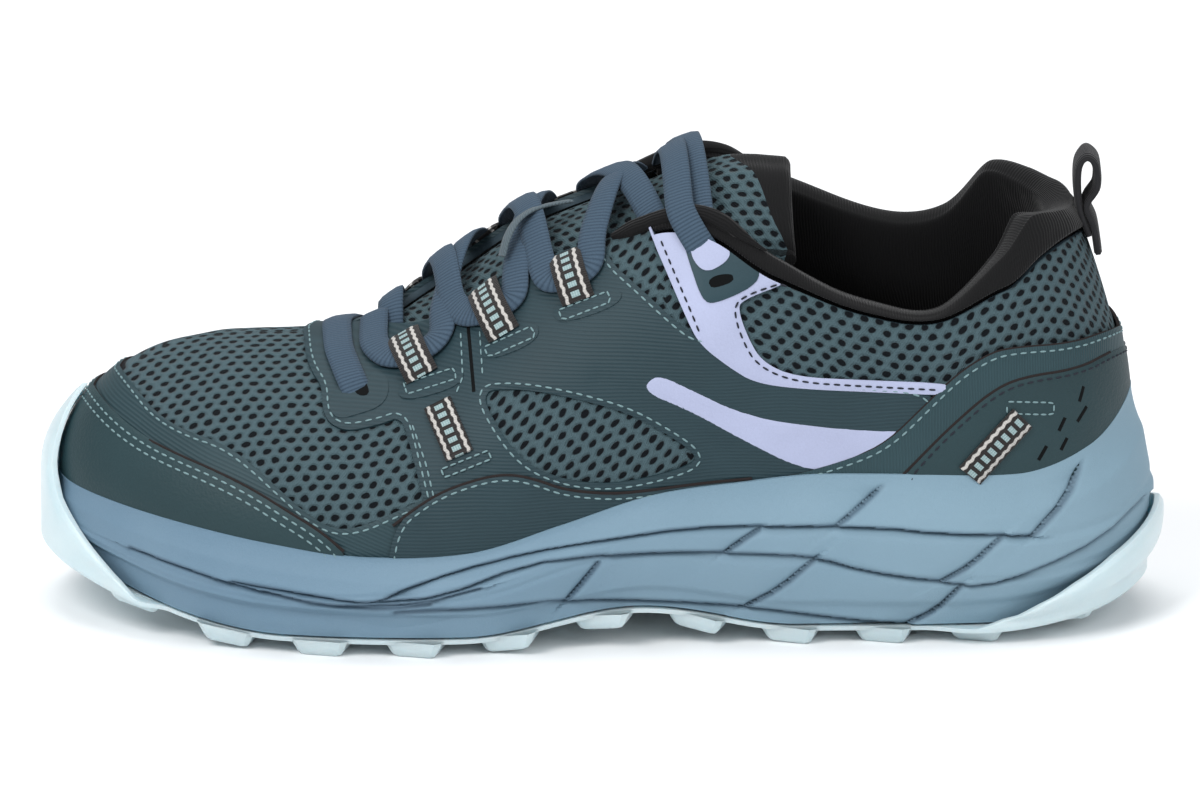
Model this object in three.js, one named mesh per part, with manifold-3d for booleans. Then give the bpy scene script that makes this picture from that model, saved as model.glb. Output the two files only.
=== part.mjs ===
// Low trail running shoe for the left foot, standing empty and unbent on its lugs.
// Millimetres. +X runs towards the heel, -Y to the outer side of the foot, +Z up.
// The origin is on the floor, under the middle of the sole.
import * as THREE from 'three';
import { mergeVertices } from 'three/addons/utils/BufferGeometryUtils.js';
import Module from 'manifold-3d';

const wasm = await Module();
wasm.setup();

// Driving dimensions
const shoeLength = 274;
const ballWidth = 91;
const heelWidth = 63;
const heelStack = 32;
const instepHeight = 107;
const collarHeight = 108;
const toeBoxHeight = 67;
const throatWidth = 40;
const upperWall = 1.8;
const clearance = 0.3;
const lugHeight = 3.4;
const outsoleSheet = 1.2;
const toeSpring = 15;
const archRise = 5.8;
const heelBevel = 8;
const cupLip = 1.8;
const soleBulge = 7;
const grooveDepth = 0.9;
const bumperThickness = 2.6;
const bumperHeight = 56;
const insoleThickness = 4;
const overlayThickness = 1.1;
const overlayGap = 0.7;
const collarPadding = 8;
const tongueThickness = 4;
const tongueAbove = 22;
const laceWidth = 8;
const laceThickness = 1.6;
const loopWidth = 9;
const loopThickness = 1.8;
const tabHeight = 13;
const tabWidth = 15;
const tabThickness = 1.5;

// Sections of the foot's edge, one row each from toe to heel. along: share of shoeLength, 0 at
// the toe. outer, inner: share of the local width, which goes from ballWidth to heelWidth as
// heel goes from 0 to 1. floor, rim: share of heelStack. bulge: share of soleBulge.
const FOOT = [
  { along: 0.020, outer: -0.088, inner: 0.088, floor: 0.94, rim: 1.06, heel: 0, bulge: 0.33 },
  { along: 0.031, outer: 0.088, inner: 0.236, floor: 0.93, rim: 1.06, heel: 0, bulge: 0.35 },
  { along: 0.069, outer: 0.236, inner: 0.363, floor: 0.89, rim: 1.03, heel: 0, bulge: 0.45 },
  { along: 0.131, outer: 0.374, inner: 0.451, floor: 0.81, rim: 0.97, heel: 0, bulge: 0.6 },
  { along: 0.208, outer: 0.462, inner: 0.495, floor: 0.74, rim: 0.88, heel: 0, bulge: 0.7 },
  { along: 0.296, outer: 0.505, inner: 0.489, floor: 0.7, rim: 0.8, heel: 0, bulge: 0.7 },
  { along: 0.380, outer: 0.500, inner: 0.440, floor: 0.71, rim: 0.83, heel: 0, bulge: 0.7 },
  { along: 0.464, outer: 0.498, inner: 0.396, floor: 0.76, rim: 1.03, heel: 0.25, bulge: 0.7 },
  { along: 0.544, outer: 0.487, inner: 0.370, floor: 0.83, rim: 1.23, heel: 0.5, bulge: 0.72 },
  { along: 0.624, outer: 0.493, inner: 0.386, floor: 0.9, rim: 1.31, heel: 0.75, bulge: 0.78 },
  { along: 0.704, outer: 0.532, inner: 0.452, floor: 0.95, rim: 1.37, heel: 1, bulge: 0.88 },
  { along: 0.788, outer: 0.524, inner: 0.484, floor: 0.98, rim: 1.36, heel: 1, bulge: 0.95 },
  { along: 0.869, outer: 0.484, inner: 0.468, floor: 0.99, rim: 1.34, heel: 1, bulge: 1 },
  { along: 0.934, outer: 0.325, inner: 0.317, floor: 0.99, rim: 1.5, heel: 1, bulge: 1 },
  { along: 0.968, outer: 0, inner: 0, floor: 0.99, rim: 1.78, heel: 1, bulge: 1 },
];
// The top line, a row for each section. along: share of shoeLength. top: share of the local
// height, toeBoxHeight, instepHeight or collarHeight. tilt: how much higher the inner side is,
// share of the same height. gap: share of throatWidth to each side. lean: degrees from flat at
// which the skin arrives at the top.
const TOP = [
  { along: 0.131, top: 0.985, tilt: 0, gap: 0, lean: 0 },
  { along: 0.140, top: 0.99, tilt: 0, gap: 0, lean: 0 },
  { along: 0.164, top: 1.0, tilt: 0, gap: 0, lean: 0 },
  { along: 0.193, top: 1.01, tilt: 0, gap: 0, lean: 0 },
  { along: 0.232, top: 1.015, tilt: 0, gap: 0, lean: 0 },
  { along: 0.277, top: 1.035, tilt: 0, gap: 0, lean: 4 },
  { along: 0.347, top: 1.13, tilt: 0.025, gap: 0.33, lean: 24 },
  { along: 0.427, top: 0.84, tilt: 0.02, gap: 0.4, lean: 32 },
  { along: 0.507, top: 0.925, tilt: 0.018, gap: 0.45, lean: 38 },
  { along: 0.588, top: 0.998, tilt: 0.02, gap: 0.55, lean: 55 },
  { along: 0.657, top: 0.926, tilt: 0.028, gap: 0.7, lean: 74 },
  { along: 0.759, top: 0.846, tilt: 0.032, gap: 0.76, lean: 84 },
  { along: 0.857, top: 0.985, tilt: 0.006, gap: 0.62, lean: 80 },
  { along: 0.908, top: 1.005, tilt: 0, gap: 0.33, lean: 74 },
  { along: 0.920, top: 0.995, tilt: 0, gap: 0, lean: 70 },
];
const last = FOOT.length - 1;
const ringRows = 2 * last;
const vampEnd = 5;
const topCrown = 6.5;
const heelCrown = 0.5;

// A smooth curve through one column of a table, mirrored (1) or turned over (-1) at its ends.
function through(values, t, startParity = 1, endParity = 1) {
  const n = values.length - 1;
  const i = Math.min(Math.max(Math.floor(t), 0), n - 1);
  const f = t - i;
  const at = (k) => {
    if (k < 0) return startParity * values[-k];
    if (k > n) return endParity * values[2 * n - k];
    return values[k];
  };
  const slope = (k) => {
    const before = at(k) - at(k - 1);
    const after = at(k + 1) - at(k);
    if (before * after <= 0) return 0;
    const mean = (before + after) / 2;
    const most = 3 * Math.min(Math.abs(before), Math.abs(after));
    return Math.sign(mean) * Math.min(Math.abs(mean), most);
  };
  const f2 = f * f;
  const f3 = f2 * f;
  return at(i) * (2 * f3 - 3 * f2 + 1) + at(i + 1) * (3 * f2 - 2 * f3)
    + slope(i) * (f3 - 2 * f2 + f) + slope(i + 1) * (f3 - f2);
}

const mix = THREE.MathUtils.lerp;
const lengthAt = (share) => (share - 0.5) * shoeLength;
const rowWidth = FOOT.map((s) => mix(ballWidth, heelWidth, s.heel));
const rowHeight = FOOT.map((s, i) => (
  i <= vampEnd + 1 ? toeBoxHeight : mix(instepHeight, collarHeight, s.heel)
));

const footX = FOOT.map((s) => lengthAt(s.along));
const footMiddle = FOOT.map((s, i) => rowWidth[i] * (s.inner - s.outer) / 2);
const footHalf = FOOT.map((s, i) => rowWidth[i] * (s.inner + s.outer) / 2);
const floorRow = FOOT.map((s) => s.floor * heelStack);
const rimRow = FOOT.map((s) => s.rim * heelStack);
const heelRow = FOOT.map((s) => s.heel);
const bulgeRow = FOOT.map((s) => s.bulge * soleBulge);
const topX = TOP.map((s) => lengthAt(s.along));
const topZ = TOP.map((s, i) => s.top * rowHeight[i]);
const topTilt = TOP.map((s, i) => s.tilt * rowHeight[i]);
const topGap = TOP.map((s) => s.gap * throatWidth);
const topLean = TOP.map((s) => THREE.MathUtils.degToRad(s.lean));

// A place on the ring of ribs: 0 at the toe, last at the heel, and back along the inner side.
function place(r) {
  const t = THREE.MathUtils.euclideanModulo(r, ringRows);
  return t <= last ? { row: t, side: -1 } : { row: ringRows - t, side: 1 };
}

function footPoint(r) {
  const { row, side } = place(r);
  const y = through(footMiddle, row) + side * through(footHalf, row, -1, -1);
  return new THREE.Vector2(through(footX, row), y);
}

function outward(r) {
  const step = 0.05;
  const way = footPoint(r + step).sub(footPoint(r - step));
  return new THREE.Vector2(-way.y, way.x).normalize().negate();
}

// The row at a place along the shoe, and the heights of the footbed and of the lugs' feet.
function rowAtX(x) {
  const i = footX.findIndex((v) => v > x);
  const k = i < 0 ? last : Math.max(i, 1);
  return k - 1 + THREE.MathUtils.clamp((x - footX[k - 1]) / (footX[k] - footX[k - 1]), 0, 1);
}
const floorAt = (x) => through(floorRow, rowAtX(x));

const flatSpots = { toeEnd: -0.285, ballEnd: -0.125, heelStart: 0.18, heelEnd: 0.345 };
const springPower = 1.7;
function lugFoot(x) {
  const a = x / shoeLength;
  if (a < flatSpots.toeEnd) {
    return toeSpring * Math.pow((flatSpots.toeEnd - a) / (0.5 + flatSpots.toeEnd), springPower);
  }
  if (a > flatSpots.heelEnd) {
    return heelBevel * Math.pow((a - flatSpots.heelEnd) / (0.5 - flatSpots.heelEnd), springPower);
  }
  if (a > flatSpots.ballEnd && a < flatSpots.heelStart) {
    const f = (a - flatSpots.ballEnd) / (flatSpots.heelStart - flatSpots.ballEnd);
    return archRise * Math.pow(Math.sin(Math.PI * f), 2);
  }
  return 0;
}
const soleUnder = (x) => lugFoot(x) + lugHeight + outsoleSheet + 2 * clearance;

function topPoint(r) {
  const { row, side } = place(r);
  const crown = mix(topCrown, heelCrown, through(heelRow, row));
  const toeEnd = footMiddle[0];
  const shift = row < vampEnd ? mix(toeEnd, topCrown, row / vampEnd) : crown;
  const y = shift + side * through(topGap, row, 1, -1);
  const z = through(topZ, row) + side * through(topTilt, row);
  return new THREE.Vector3(through(topX, row), y, z);
}

// The rise of the top line, along X.
function crestSlope(row) {
  const a = Math.min(row + 0.3, last);
  const b = Math.max(row - 0.3, 0);
  const rise = through(topZ, a) - through(topZ, b);
  const run = Math.max(through(topX, a) - through(topX, b), 1e-3);
  return (rise / run) * (1 - through(heelRow, row));
}

// A point of the upper's outer face: s runs up the rib from the foot's edge to the top line.
const lowRise = 0.36;
const lowBulge = 0.045;
const topReach = 0.42;
function skin(r, s) {
  const { row } = place(r);
  const foot = footPoint(r);
  const top = topPoint(r);
  const out = outward(r);
  const foot3 = new THREE.Vector3(foot.x, foot.y, floorAt(foot.x) + clearance);
  const lean = through(topLean, row);
  const reach = topReach * top.distanceTo(foot3);
  const rise = top.z - foot3.z;
  const flat = Math.cos(lean) * reach;
  const low = new THREE.Vector3(
    foot3.x + out.x * lowBulge * ballWidth,
    foot3.y + out.y * lowBulge * ballWidth,
    foot3.z + lowRise * rise,
  );
  const high = new THREE.Vector3(
    top.x + out.x * flat,
    top.y + out.y * flat,
    top.z - Math.sin(lean) * reach + crestSlope(row) * out.x * flat,
  );
  return new THREE.CubicBezierCurve3(foot3, low, high, top).getPoint(s);
}

function normal(r, s) {
  const { row } = place(r);
  if (s > 0.995 && row <= vampEnd) {
    return new THREE.Vector3(-crestSlope(row), 0, 1).normalize();
  }
  const dr = 0.03;
  const ds = 0.01;
  const up = Math.min(s + ds, 1);
  const down = Math.max(s - ds, 0);
  const across = skin(r + dr, s).sub(skin(r - dr, s));
  const rise = skin(r, up).sub(skin(r, down));
  return across.cross(rise).normalize();
}

const offset = (r, s, d) => skin(r, s).addScaledVector(normal(r, s), d);

// The rib parameter at which the skin reaches a height.
function ribAt(r, z) {
  let low = 0;
  let high = 1;
  for (let i = 0; i < 24; i += 1) {
    const middle = (low + high) / 2;
    if (skin(r, middle).z < z) low = middle;
    else high = middle;
  }
  return (low + high) / 2;
}
const rimHeight = (r) => through(rimRow, place(r).row);

// Solids from quads, with shared corners merged.
class Faces {
  constructor() {
    this.corners = [];
  }

  triangle(a, b, c) {
    this.corners.push(a, b, c);
  }

  quad(a, b, c, d) {
    this.triangle(a, b, c);
    this.triangle(a, c, d);
  }

  solid() {
    const flat = this.corners.flatMap((p) => [p.x, p.y, p.z]);
    const loose = new THREE.BufferGeometry();
    loose.setAttribute('position', new THREE.Float32BufferAttribute(flat, 3));
    const merged = mergeVertices(loose, 2e-3);
    const index = merged.index.array;
    const kept = [];
    for (let i = 0; i < index.length; i += 3) {
      const [a, b, c] = index.slice(i, i + 3);
      if (a !== b && b !== c && a !== c) kept.push(a, b, c);
    }
    merged.setIndex(kept);
    return merged;
  }
}

// Skins a list of rings (arrays of points, all as long). Rings may close on themselves.
// An open loft is capped by a strip across each end, or by a fan from the ring's last corner.
function loft(rings, { closedAlong = false, closedAround = true, fanCaps = false } = {}) {
  const faces = new Faces();
  const count = rings[0].length;
  const spans = closedAlong ? rings.length : rings.length - 1;
  const around = closedAround ? count : count - 1;
  for (let i = 0; i < spans; i += 1) {
    const a = rings[i];
    const b = rings[(i + 1) % rings.length];
    for (let j = 0; j < around; j += 1) {
      const k = (j + 1) % count;
      faces.quad(a[j], b[j], b[k], a[k]);
    }
  }
  if (!closedAlong) {
    const start = rings[0];
    const end = rings[rings.length - 1];
    const fan = fanCaps ? count - 2 : 0;
    for (let j = 0; j < fan; j += 1) {
      faces.triangle(start[count - 1], start[j], start[j + 1]);
      faces.triangle(end[count - 1], end[j + 1], end[j]);
    }
    for (let j = 0; !fanCaps && 2 * j < count - 2; j += 1) {
      const k = count - 1 - j;
      faces.quad(start[j], start[j + 1], start[k - 1], start[k]);
      faces.quad(end[k], end[k - 1], end[j + 1], end[j]);
    }
  }
  return faces.solid();
}

function toManifold(geometry) {
  const vertProperties = new Float32Array(geometry.attributes.position.array);
  const triVerts = new Uint32Array(geometry.index.array);
  return new wasm.Manifold(new wasm.Mesh({ numProp: 3, vertProperties, triVerts }));
}

function fromManifold(solid) {
  const mesh = solid.getMesh();
  const geometry = new THREE.BufferGeometry();
  geometry.setAttribute('position', new THREE.BufferAttribute(mesh.vertProperties, 3));
  geometry.setIndex(new THREE.BufferAttribute(mesh.triVerts, 1));
  return geometry;
}

function flipped(geometry) {
  const index = Array.from(geometry.index.array);
  for (let i = 0; i < index.length; i += 3) {
    const keep = index[i + 1];
    index[i + 1] = index[i + 2];
    index[i + 2] = keep;
  }
  geometry.setIndex(index);
  return geometry;
}

function outwardFacing(geometry) {
  return toManifold(geometry).volume() < 0 ? flipped(geometry) : geometry;
}

const ribsPerRow = 2;
const ribs = Array.from({ length: ringRows * ribsPerRow }, (_, i) => i / ribsPerRow);
const steps = (n) => Array.from({ length: n + 1 }, (_, i) => i / n);

// Where the padded collar takes over from the skin: share of the rib left above the border.
const collarStart = 8.5;
const collarBand = [
  { row: collarStart, share: 0.03 },
  { row: 9, share: 0.05 },
  { row: 11, share: 0.08 },
  { row: 12, share: 0.14 },
  { row: 13, share: 0.2 },
  { row: last, share: 0.2 },
];
function collarBorder(r) {
  const { row } = place(r);
  if (row < collarStart) return 1;
  const i = Math.max(collarBand.findIndex((b) => b.row >= row), 1);
  const a = collarBand[i - 1];
  const b = collarBand[i];
  return 1 - mix(a.share, b.share, (row - a.row) / (b.row - a.row));
}

// Upper: one wall of fabric, open underneath, at the throat and at the collar.
function upper() {
  const levels = steps(9);
  const faces = new Faces();
  const rows = ribs.map((r) => {
    const border = collarBorder(r);
    const most = border < 1 ? border - 0.016 : 1;
    return {
      outer: levels.map((s) => offset(r, s * most, 0)),
      inner: levels.map((s) => offset(r, s * most, -upperWall)),
      open: through(topGap, place(r).row) > 0,
    };
  });
  const n = levels.length - 1;
  rows.forEach((a, i) => {
    const b = rows[(i + 1) % rows.length];
    for (let j = 0; j < n; j += 1) {
      faces.quad(a.outer[j], b.outer[j], b.outer[j + 1], a.outer[j + 1]);
      faces.quad(a.inner[j], a.inner[j + 1], b.inner[j + 1], b.inner[j]);
    }
    faces.quad(a.inner[0], b.inner[0], b.outer[0], a.outer[0]);
    if (a.open || b.open) faces.quad(a.outer[n], b.outer[n], b.inner[n], a.inner[n]);
  });
  return faces.solid();
}

// Side of the sole. level: share of the height from its foot to its rim. out: share of the
// bulge beyond the lip. groove: which moulded line the point follows, above (1) or below (-1)
// it, or in it (0).
const SIDE = [
  { level: 0.93, out: 0.25 },
  { groove: 'upper', step: 1, out: 0.85 },
  { groove: 'upper', step: 0, out: 0.72 },
  { groove: 'upper', step: -1, out: 1.0 },
  { groove: 'middle', step: 1, out: 1.0 },
  { groove: 'middle', step: 0, out: 0.8 },
  { groove: 'middle', step: -1, out: 0.97 },
  { groove: 'lower', step: 1, out: 0.72 },
  { groove: 'lower', step: 0, out: 0.45 },
  { level: 0.0, out: 0.3 },
];
// Heights of the moulded lines, a row for each section, as shares of the side's height.
const LINES = [
  { upper: 0.5, middle: 0.4, lower: 0.3 },
  { upper: 0.5, middle: 0.4, lower: 0.3 },
  { upper: 0.49, middle: 0.4, lower: 0.3 },
  { upper: 0.47, middle: 0.39, lower: 0.29 },
  { upper: 0.49, middle: 0.39, lower: 0.28 },
  { upper: 0.58, middle: 0.43, lower: 0.28 },
  { upper: 0.66, middle: 0.5, lower: 0.25 },
  { upper: 0.74, middle: 0.56, lower: 0.2 },
  { upper: 0.71, middle: 0.51, lower: 0.17 },
  { upper: 0.68, middle: 0.47, lower: 0.15 },
  { upper: 0.67, middle: 0.45, lower: 0.14 },
  { upper: 0.64, middle: 0.33, lower: 0.13 },
  { upper: 0.6, middle: 0.33, lower: 0.15 },
  { upper: 0.52, middle: 0.3, lower: 0.16 },
  { upper: 0.5, middle: 0.3, lower: 0.17 },
];
const lineStep = 0.035;
const rimTaper = 0.6;

function soleFrame(r) {
  const foot = footPoint(r);
  const out = outward(r);
  const rim = rimHeight(r);
  const s = ribAt(r, rim);
  const wall = offset(r, s, clearance);
  const inner = new THREE.Vector2(wall.x, wall.y).sub(foot).dot(out);
  return { foot, out, rim, s, lip: inner + cupLip, row: place(r).row };
}

// How far the side of the sole stands out of the foot's edge at a height.
function sideOut(frame, level, share) {
  const bulge = through(bulgeRow, frame.row);
  const base = mix(Math.min(rimTaper, frame.lip), frame.lip, level);
  return Math.max(base, rimTaper) + share * bulge * Math.min(1, 4 * (1 - level));
}

function sidePoints(r, frame, extra = 0) {
  const bottom = soleUnder(frame.foot.x);
  const rise = frame.rim - bottom;
  return SIDE.map((p) => {
    const line = (name) => through(LINES.map((l) => l[name]), frame.row);
    const level = p.groove ? line(p.groove) + p.step * lineStep : p.level;
    const depth = p.step === 0 ? grooveDepth : 0;
    const reach = sideOut(frame, level, p.out) - depth + extra;
    const spot = frame.foot.clone().addScaledVector(frame.out, reach);
    return new THREE.Vector3(spot.x, spot.y, bottom + level * rise);
  });
}

// The middle line between the two sides, which starts and ends inside the outline.
const endInset = 26;
function middleX(row, inset = endInset) {
  const share = (through(footX, row) - footX[0]) / (footX[last] - footX[0]);
  return mix(footX[0] + inset, footX[last] - inset, share);
}
function middlePoint(r, height) {
  const { row } = place(r);
  const x = middleX(row);
  return new THREE.Vector3(x, through(footMiddle, row), height(x));
}

function halfwayIn(r, edge, height) {
  const centre = middlePoint(r, height);
  const x = (edge.x + centre.x) / 2;
  return new THREE.Vector3(x, (edge.y + centre.y) / 2, height(x));
}

// Midsole: a foam cup that the upper sits in.
function midsole() {
  const rings = ribs.map((r) => {
    const frame = soleFrame(r);
    const floorEdge = frame.foot.clone().addScaledVector(frame.out, clearance);
    const edge = new THREE.Vector3(floorEdge.x, floorEdge.y, floorAt(floorEdge.x));
    const wall = [0.35, 0.7, 1].map((f) => offset(r, f * frame.s, clearance));
    const lip = frame.foot.clone().addScaledVector(frame.out, frame.lip);
    const side = sidePoints(r, frame);
    const under = side[side.length - 1];
    return [
      middlePoint(r, floorAt),
      halfwayIn(r, edge, floorAt),
      edge,
      ...wall,
      new THREE.Vector3(lip.x, lip.y, frame.rim),
      ...side,
      halfwayIn(r, under, soleUnder),
      middlePoint(r, soleUnder),
    ];
  });
  return outwardFacing(loft(rings, { closedAlong: true, closedAround: false }));
}

// Height to which the rubber climbs the side, a row for each section: share of bumperHeight.
const CLIMB = [0.97, 0.74, 0.34, 0, 0, 0, 0, 0, 0, 0, 0, 0, 0.14, 0.36, 0.5];
const wrapWindow = 5;
const wrapApproach = 5;
const wrapLevels = [0.25, 0.5, 0.72, 0.88, 1];
const clearOfOverlays = overlayGap + overlayThickness + 6 * clearance;

function outsoleSheetSolid() {
  const rings = ribs.map((r) => {
    const frame = soleFrame(r);
    const bottom = soleUnder(frame.foot.x);
    const climb = through(CLIMB, frame.row) * bumperHeight;
    const low = bottom - 2 * clearance;
    const top = Math.max(low, climb);
    const wrapped = THREE.MathUtils.smoothstep(climb, bottom - wrapApproach, low);
    const side = sidePoints(r, frame);
    const under = side[side.length - 1];
    const flush = new THREE.Vector2(under.x, under.y).sub(frame.foot).dot(frame.out) - outsoleSheet;
    const reachAt = (z) => {
      const wall = offset(r, ribAt(r, Math.max(z, frame.rim)), clearOfOverlays);
      const skinOut = new THREE.Vector2(wall.x, wall.y).sub(frame.foot).dot(frame.out);
      const near = side.filter((p) => Math.abs(p.z - z) < wrapWindow);
      const sideReach = near.map((p) => new THREE.Vector2(p.x, p.y).sub(frame.foot).dot(frame.out));
      const most = Math.max(...sideReach, z < frame.rim ? frame.lip : 0);
      const round = z > frame.rim + wrapWindow ? skinOut : Math.max(most, skinOut) + clearance;
      return mix(flush, round, wrapped);
    };
    const at = (z, more) => {
      const spot = frame.foot.clone().addScaledVector(frame.out, reachAt(z) + more);
      return new THREE.Vector3(spot.x, spot.y, z);
    };
    const heights = wrapLevels.map((f) => mix(low, top, f));
    const thick = mix(outsoleSheet, bumperThickness, Math.min(1, (top - low) / 12));
    const sheetTop = (x) => soleUnder(x) - 2 * clearance;
    const sheetFoot = (x) => sheetTop(x) - outsoleSheet;
    const inner = heights.map((z) => at(z, 0));
    const outer = heights.map((z) => at(z, thick)).reverse();
    const cornerIn = at(low, 0);
    cornerIn.z = sheetTop(frame.foot.x);
    const cornerOut = at(low, thick * 0.6);
    cornerOut.z = sheetFoot(frame.foot.x);
    return [
      middlePoint(r, sheetTop),
      halfwayIn(r, cornerIn, sheetTop),
      cornerIn,
      ...inner,
      ...outer,
      cornerOut,
      halfwayIn(r, cornerOut, sheetFoot),
      middlePoint(r, sheetFoot),
    ];
  });
  return outwardFacing(loft(rings, { closedAlong: true, closedAround: false }));
}

// One lug: a block whose foot is smaller than its root, its root sunk into the sheet.
const lugTaper = 0.72;
function lug(x, y, { length, width }, turn) {
  const root = lugHeight + 0.7 * outsoleSheet;
  const corner = (sx, sy, scale, up) => {
    const dx = sx * scale * length / 2;
    const dy = sy * scale * width / 2;
    const px = x + dx * Math.cos(turn) - dy * Math.sin(turn);
    const py = y + dx * Math.sin(turn) + dy * Math.cos(turn);
    return new THREE.Vector3(px, py, lugFoot(px) + up);
  };
  const ring = (scale, up) => [[-1, -1], [1, -1], [1, 1], [-1, 1]].map(([a, b]) => corner(a, b, scale, up));
  return outwardFacing(loft([ring(lugTaper, 0), ring(1, root)]));
}

// Lugs stand in rows across the sole, on the edges and in chevrons between them.
const firstLug = 0.085;
const lugPitch = 0.084;
const lugRows = 11;
const edgeLug = { length: 13, width: 12 };
const edgeTurn = 0.25;
const edgeInset = 4;
const innerLug = { length: 12, width: 9 };
const innerTurn = 0.7;
const innerShare = 0.34;
const innerShift = 8;
const leastHalf = 24;
function lugs() {
  const solids = [];
  for (let i = 0; i < lugRows; i += 1) {
    const x = lengthAt(firstLug + i * lugPitch);
    const row = rowAtX(x);
    const middle = through(footMiddle, row);
    const half = through(footHalf, row, -1, -1);
    for (const side of [-1, 1]) {
      solids.push(lug(x, middle + side * (half - edgeInset), edgeLug, side * edgeTurn));
      if (half > leastHalf) {
        solids.push(lug(x + innerShift, middle + side * half * innerShare, innerLug, side * innerTurn));
      }
    }
  }
  return solids;
}

function outsole() {
  let solid = toManifold(outsoleSheetSolid());
  for (const block of lugs()) solid = solid.add(toManifold(block));
  return fromManifold(solid);
}

function insole() {
  const inset = upperWall + 2 * clearance;
  const bed = (x) => floorAt(x) + clearance;
  const face = (x) => floorAt(x) + clearance + insoleThickness;
  const rings = ribs.map((r) => {
    const foot = footPoint(r).addScaledVector(outward(r), -inset);
    const low = new THREE.Vector3(foot.x, foot.y, bed(foot.x));
    const high = new THREE.Vector3(foot.x, foot.y, face(foot.x));
    return [middlePoint(r, face), high, low, middlePoint(r, bed)];
  });
  return outwardFacing(loft(rings, { closedAlong: true, closedAround: false }));
}

// Padded collar: follows the skin's outer face over the rim and down inside the heel.
const paddingDepth = 0.3;
const thinEnd = 0.38;
function collarFullness(row) {
  return mix(thinEnd, 1, THREE.MathUtils.smoothstep(row, 9, 10.5));
}
function collar() {
  const rings = ribs.filter((r) => place(r).row >= collarStart).map((r) => {
    const border = collarBorder(r);
    const taper = collarFullness(place(r).row);
    const thick = collarPadding * taper;
    const backed = upperWall + 3 * clearance;
    const low = border - mix(0.05, paddingDepth, taper);
    const rim = normal(r, 1);
    const up = new THREE.Vector3(0, 0, 1);
    const centre = skin(r, 1).addScaledVector(rim, -thick / 2);
    const round = [0, 0.25, 0.5, 0.75, 1].map((a) => {
      const angle = a * Math.PI;
      return centre.clone()
        .addScaledVector(rim, Math.cos(angle) * thick / 2)
        .addScaledVector(up, Math.sin(angle) * thick / 3);
    });
    return [
      offset(r, border, 0),
      offset(r, (border + 1) / 2, 0),
      ...round,
      offset(r, mix(1, low, 0.35), -thick),
      offset(r, mix(1, low, 0.7), -mix(backed + 1, thick, 0.8)),
      offset(r, low, -(backed + 0.8)),
      offset(r, low, -backed),
      offset(r, mix(low, border, 0.5), -backed),
      offset(r, border, -backed),
    ];
  });
  return outwardFacing(loft(rings, { fanCaps: true }));
}

// Tongue: under the throat's edges, and past them above the collar.
const tongueRows = 12;
const tongueUnder = 0.12;
const tongueFree = 0.86;
const tongueTopRow = 8.9;
const tongueCrown = 0.13;
const tongueNarrowing = 0.34;
const tongueWay = new THREE.Vector3(0.95, 0, 0.3);
function tongue() {
  const underSkin = upperWall + 3 * clearance;
  const underCollar = thinEnd * collarPadding + 2 * clearance;
  const sections = steps(tongueRows).map((f) => {
    const row = mix(vampEnd + 0.5, tongueTopRow, Math.min(1, f / tongueFree));
    const beyond = Math.max(0, f - tongueFree) / (1 - tongueFree);
    const gapBelow = mix(underSkin, underCollar, THREE.MathUtils.smoothstep(row, 7.9, collarStart));
    const lift = beyond * tongueAbove;
    const narrow = tongueNarrowing * THREE.MathUtils.smoothstep(f, 0.6, 1);
    const edge = (side, s) => {
      const r = side < 0 ? row : ringRows - row;
      const drop = s < 1 ? gapBelow : gapBelow - 0.4;
      const p = offset(r, s, -drop).addScaledVector(tongueWay, lift);
      p.y = mix(p.y, topCrown, narrow);
      return p;
    };
    const outerEdge = edge(-1, 1);
    const innerEdge = edge(1, 1);
    const width = outerEdge.distanceTo(innerEdge);
    const crown = tongueCrown * width;
    const middle = outerEdge.clone().add(innerEdge).multiplyScalar(0.5);
    middle.z += crown;
    const quarter = (e) => e.clone().lerp(middle, 0.5).add(new THREE.Vector3(0, 0, 0.25 * crown));
    const top = [
      edge(-1, 1 - 1.3 * tongueUnder),
      edge(-1, 1 - 0.6 * tongueUnder),
      quarter(outerEdge),
      middle,
      quarter(innerEdge),
      edge(1, 1 - 0.6 * tongueUnder),
      edge(1, 1 - 1.3 * tongueUnder),
    ];
    const thick = mix(tongueThickness * 0.6, tongueThickness * 1.5, Math.max(0, f - 0.5) * 2);
    const under = top.map((p, i) => {
      const away = (i - 3) / 3;
      return p.clone().add(new THREE.Vector3(0, -away * 0.5 * thick, -thick));
    }).reverse();
    return [...top, ...under];
  });
  return outwardFacing(loft(sections));
}

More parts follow.
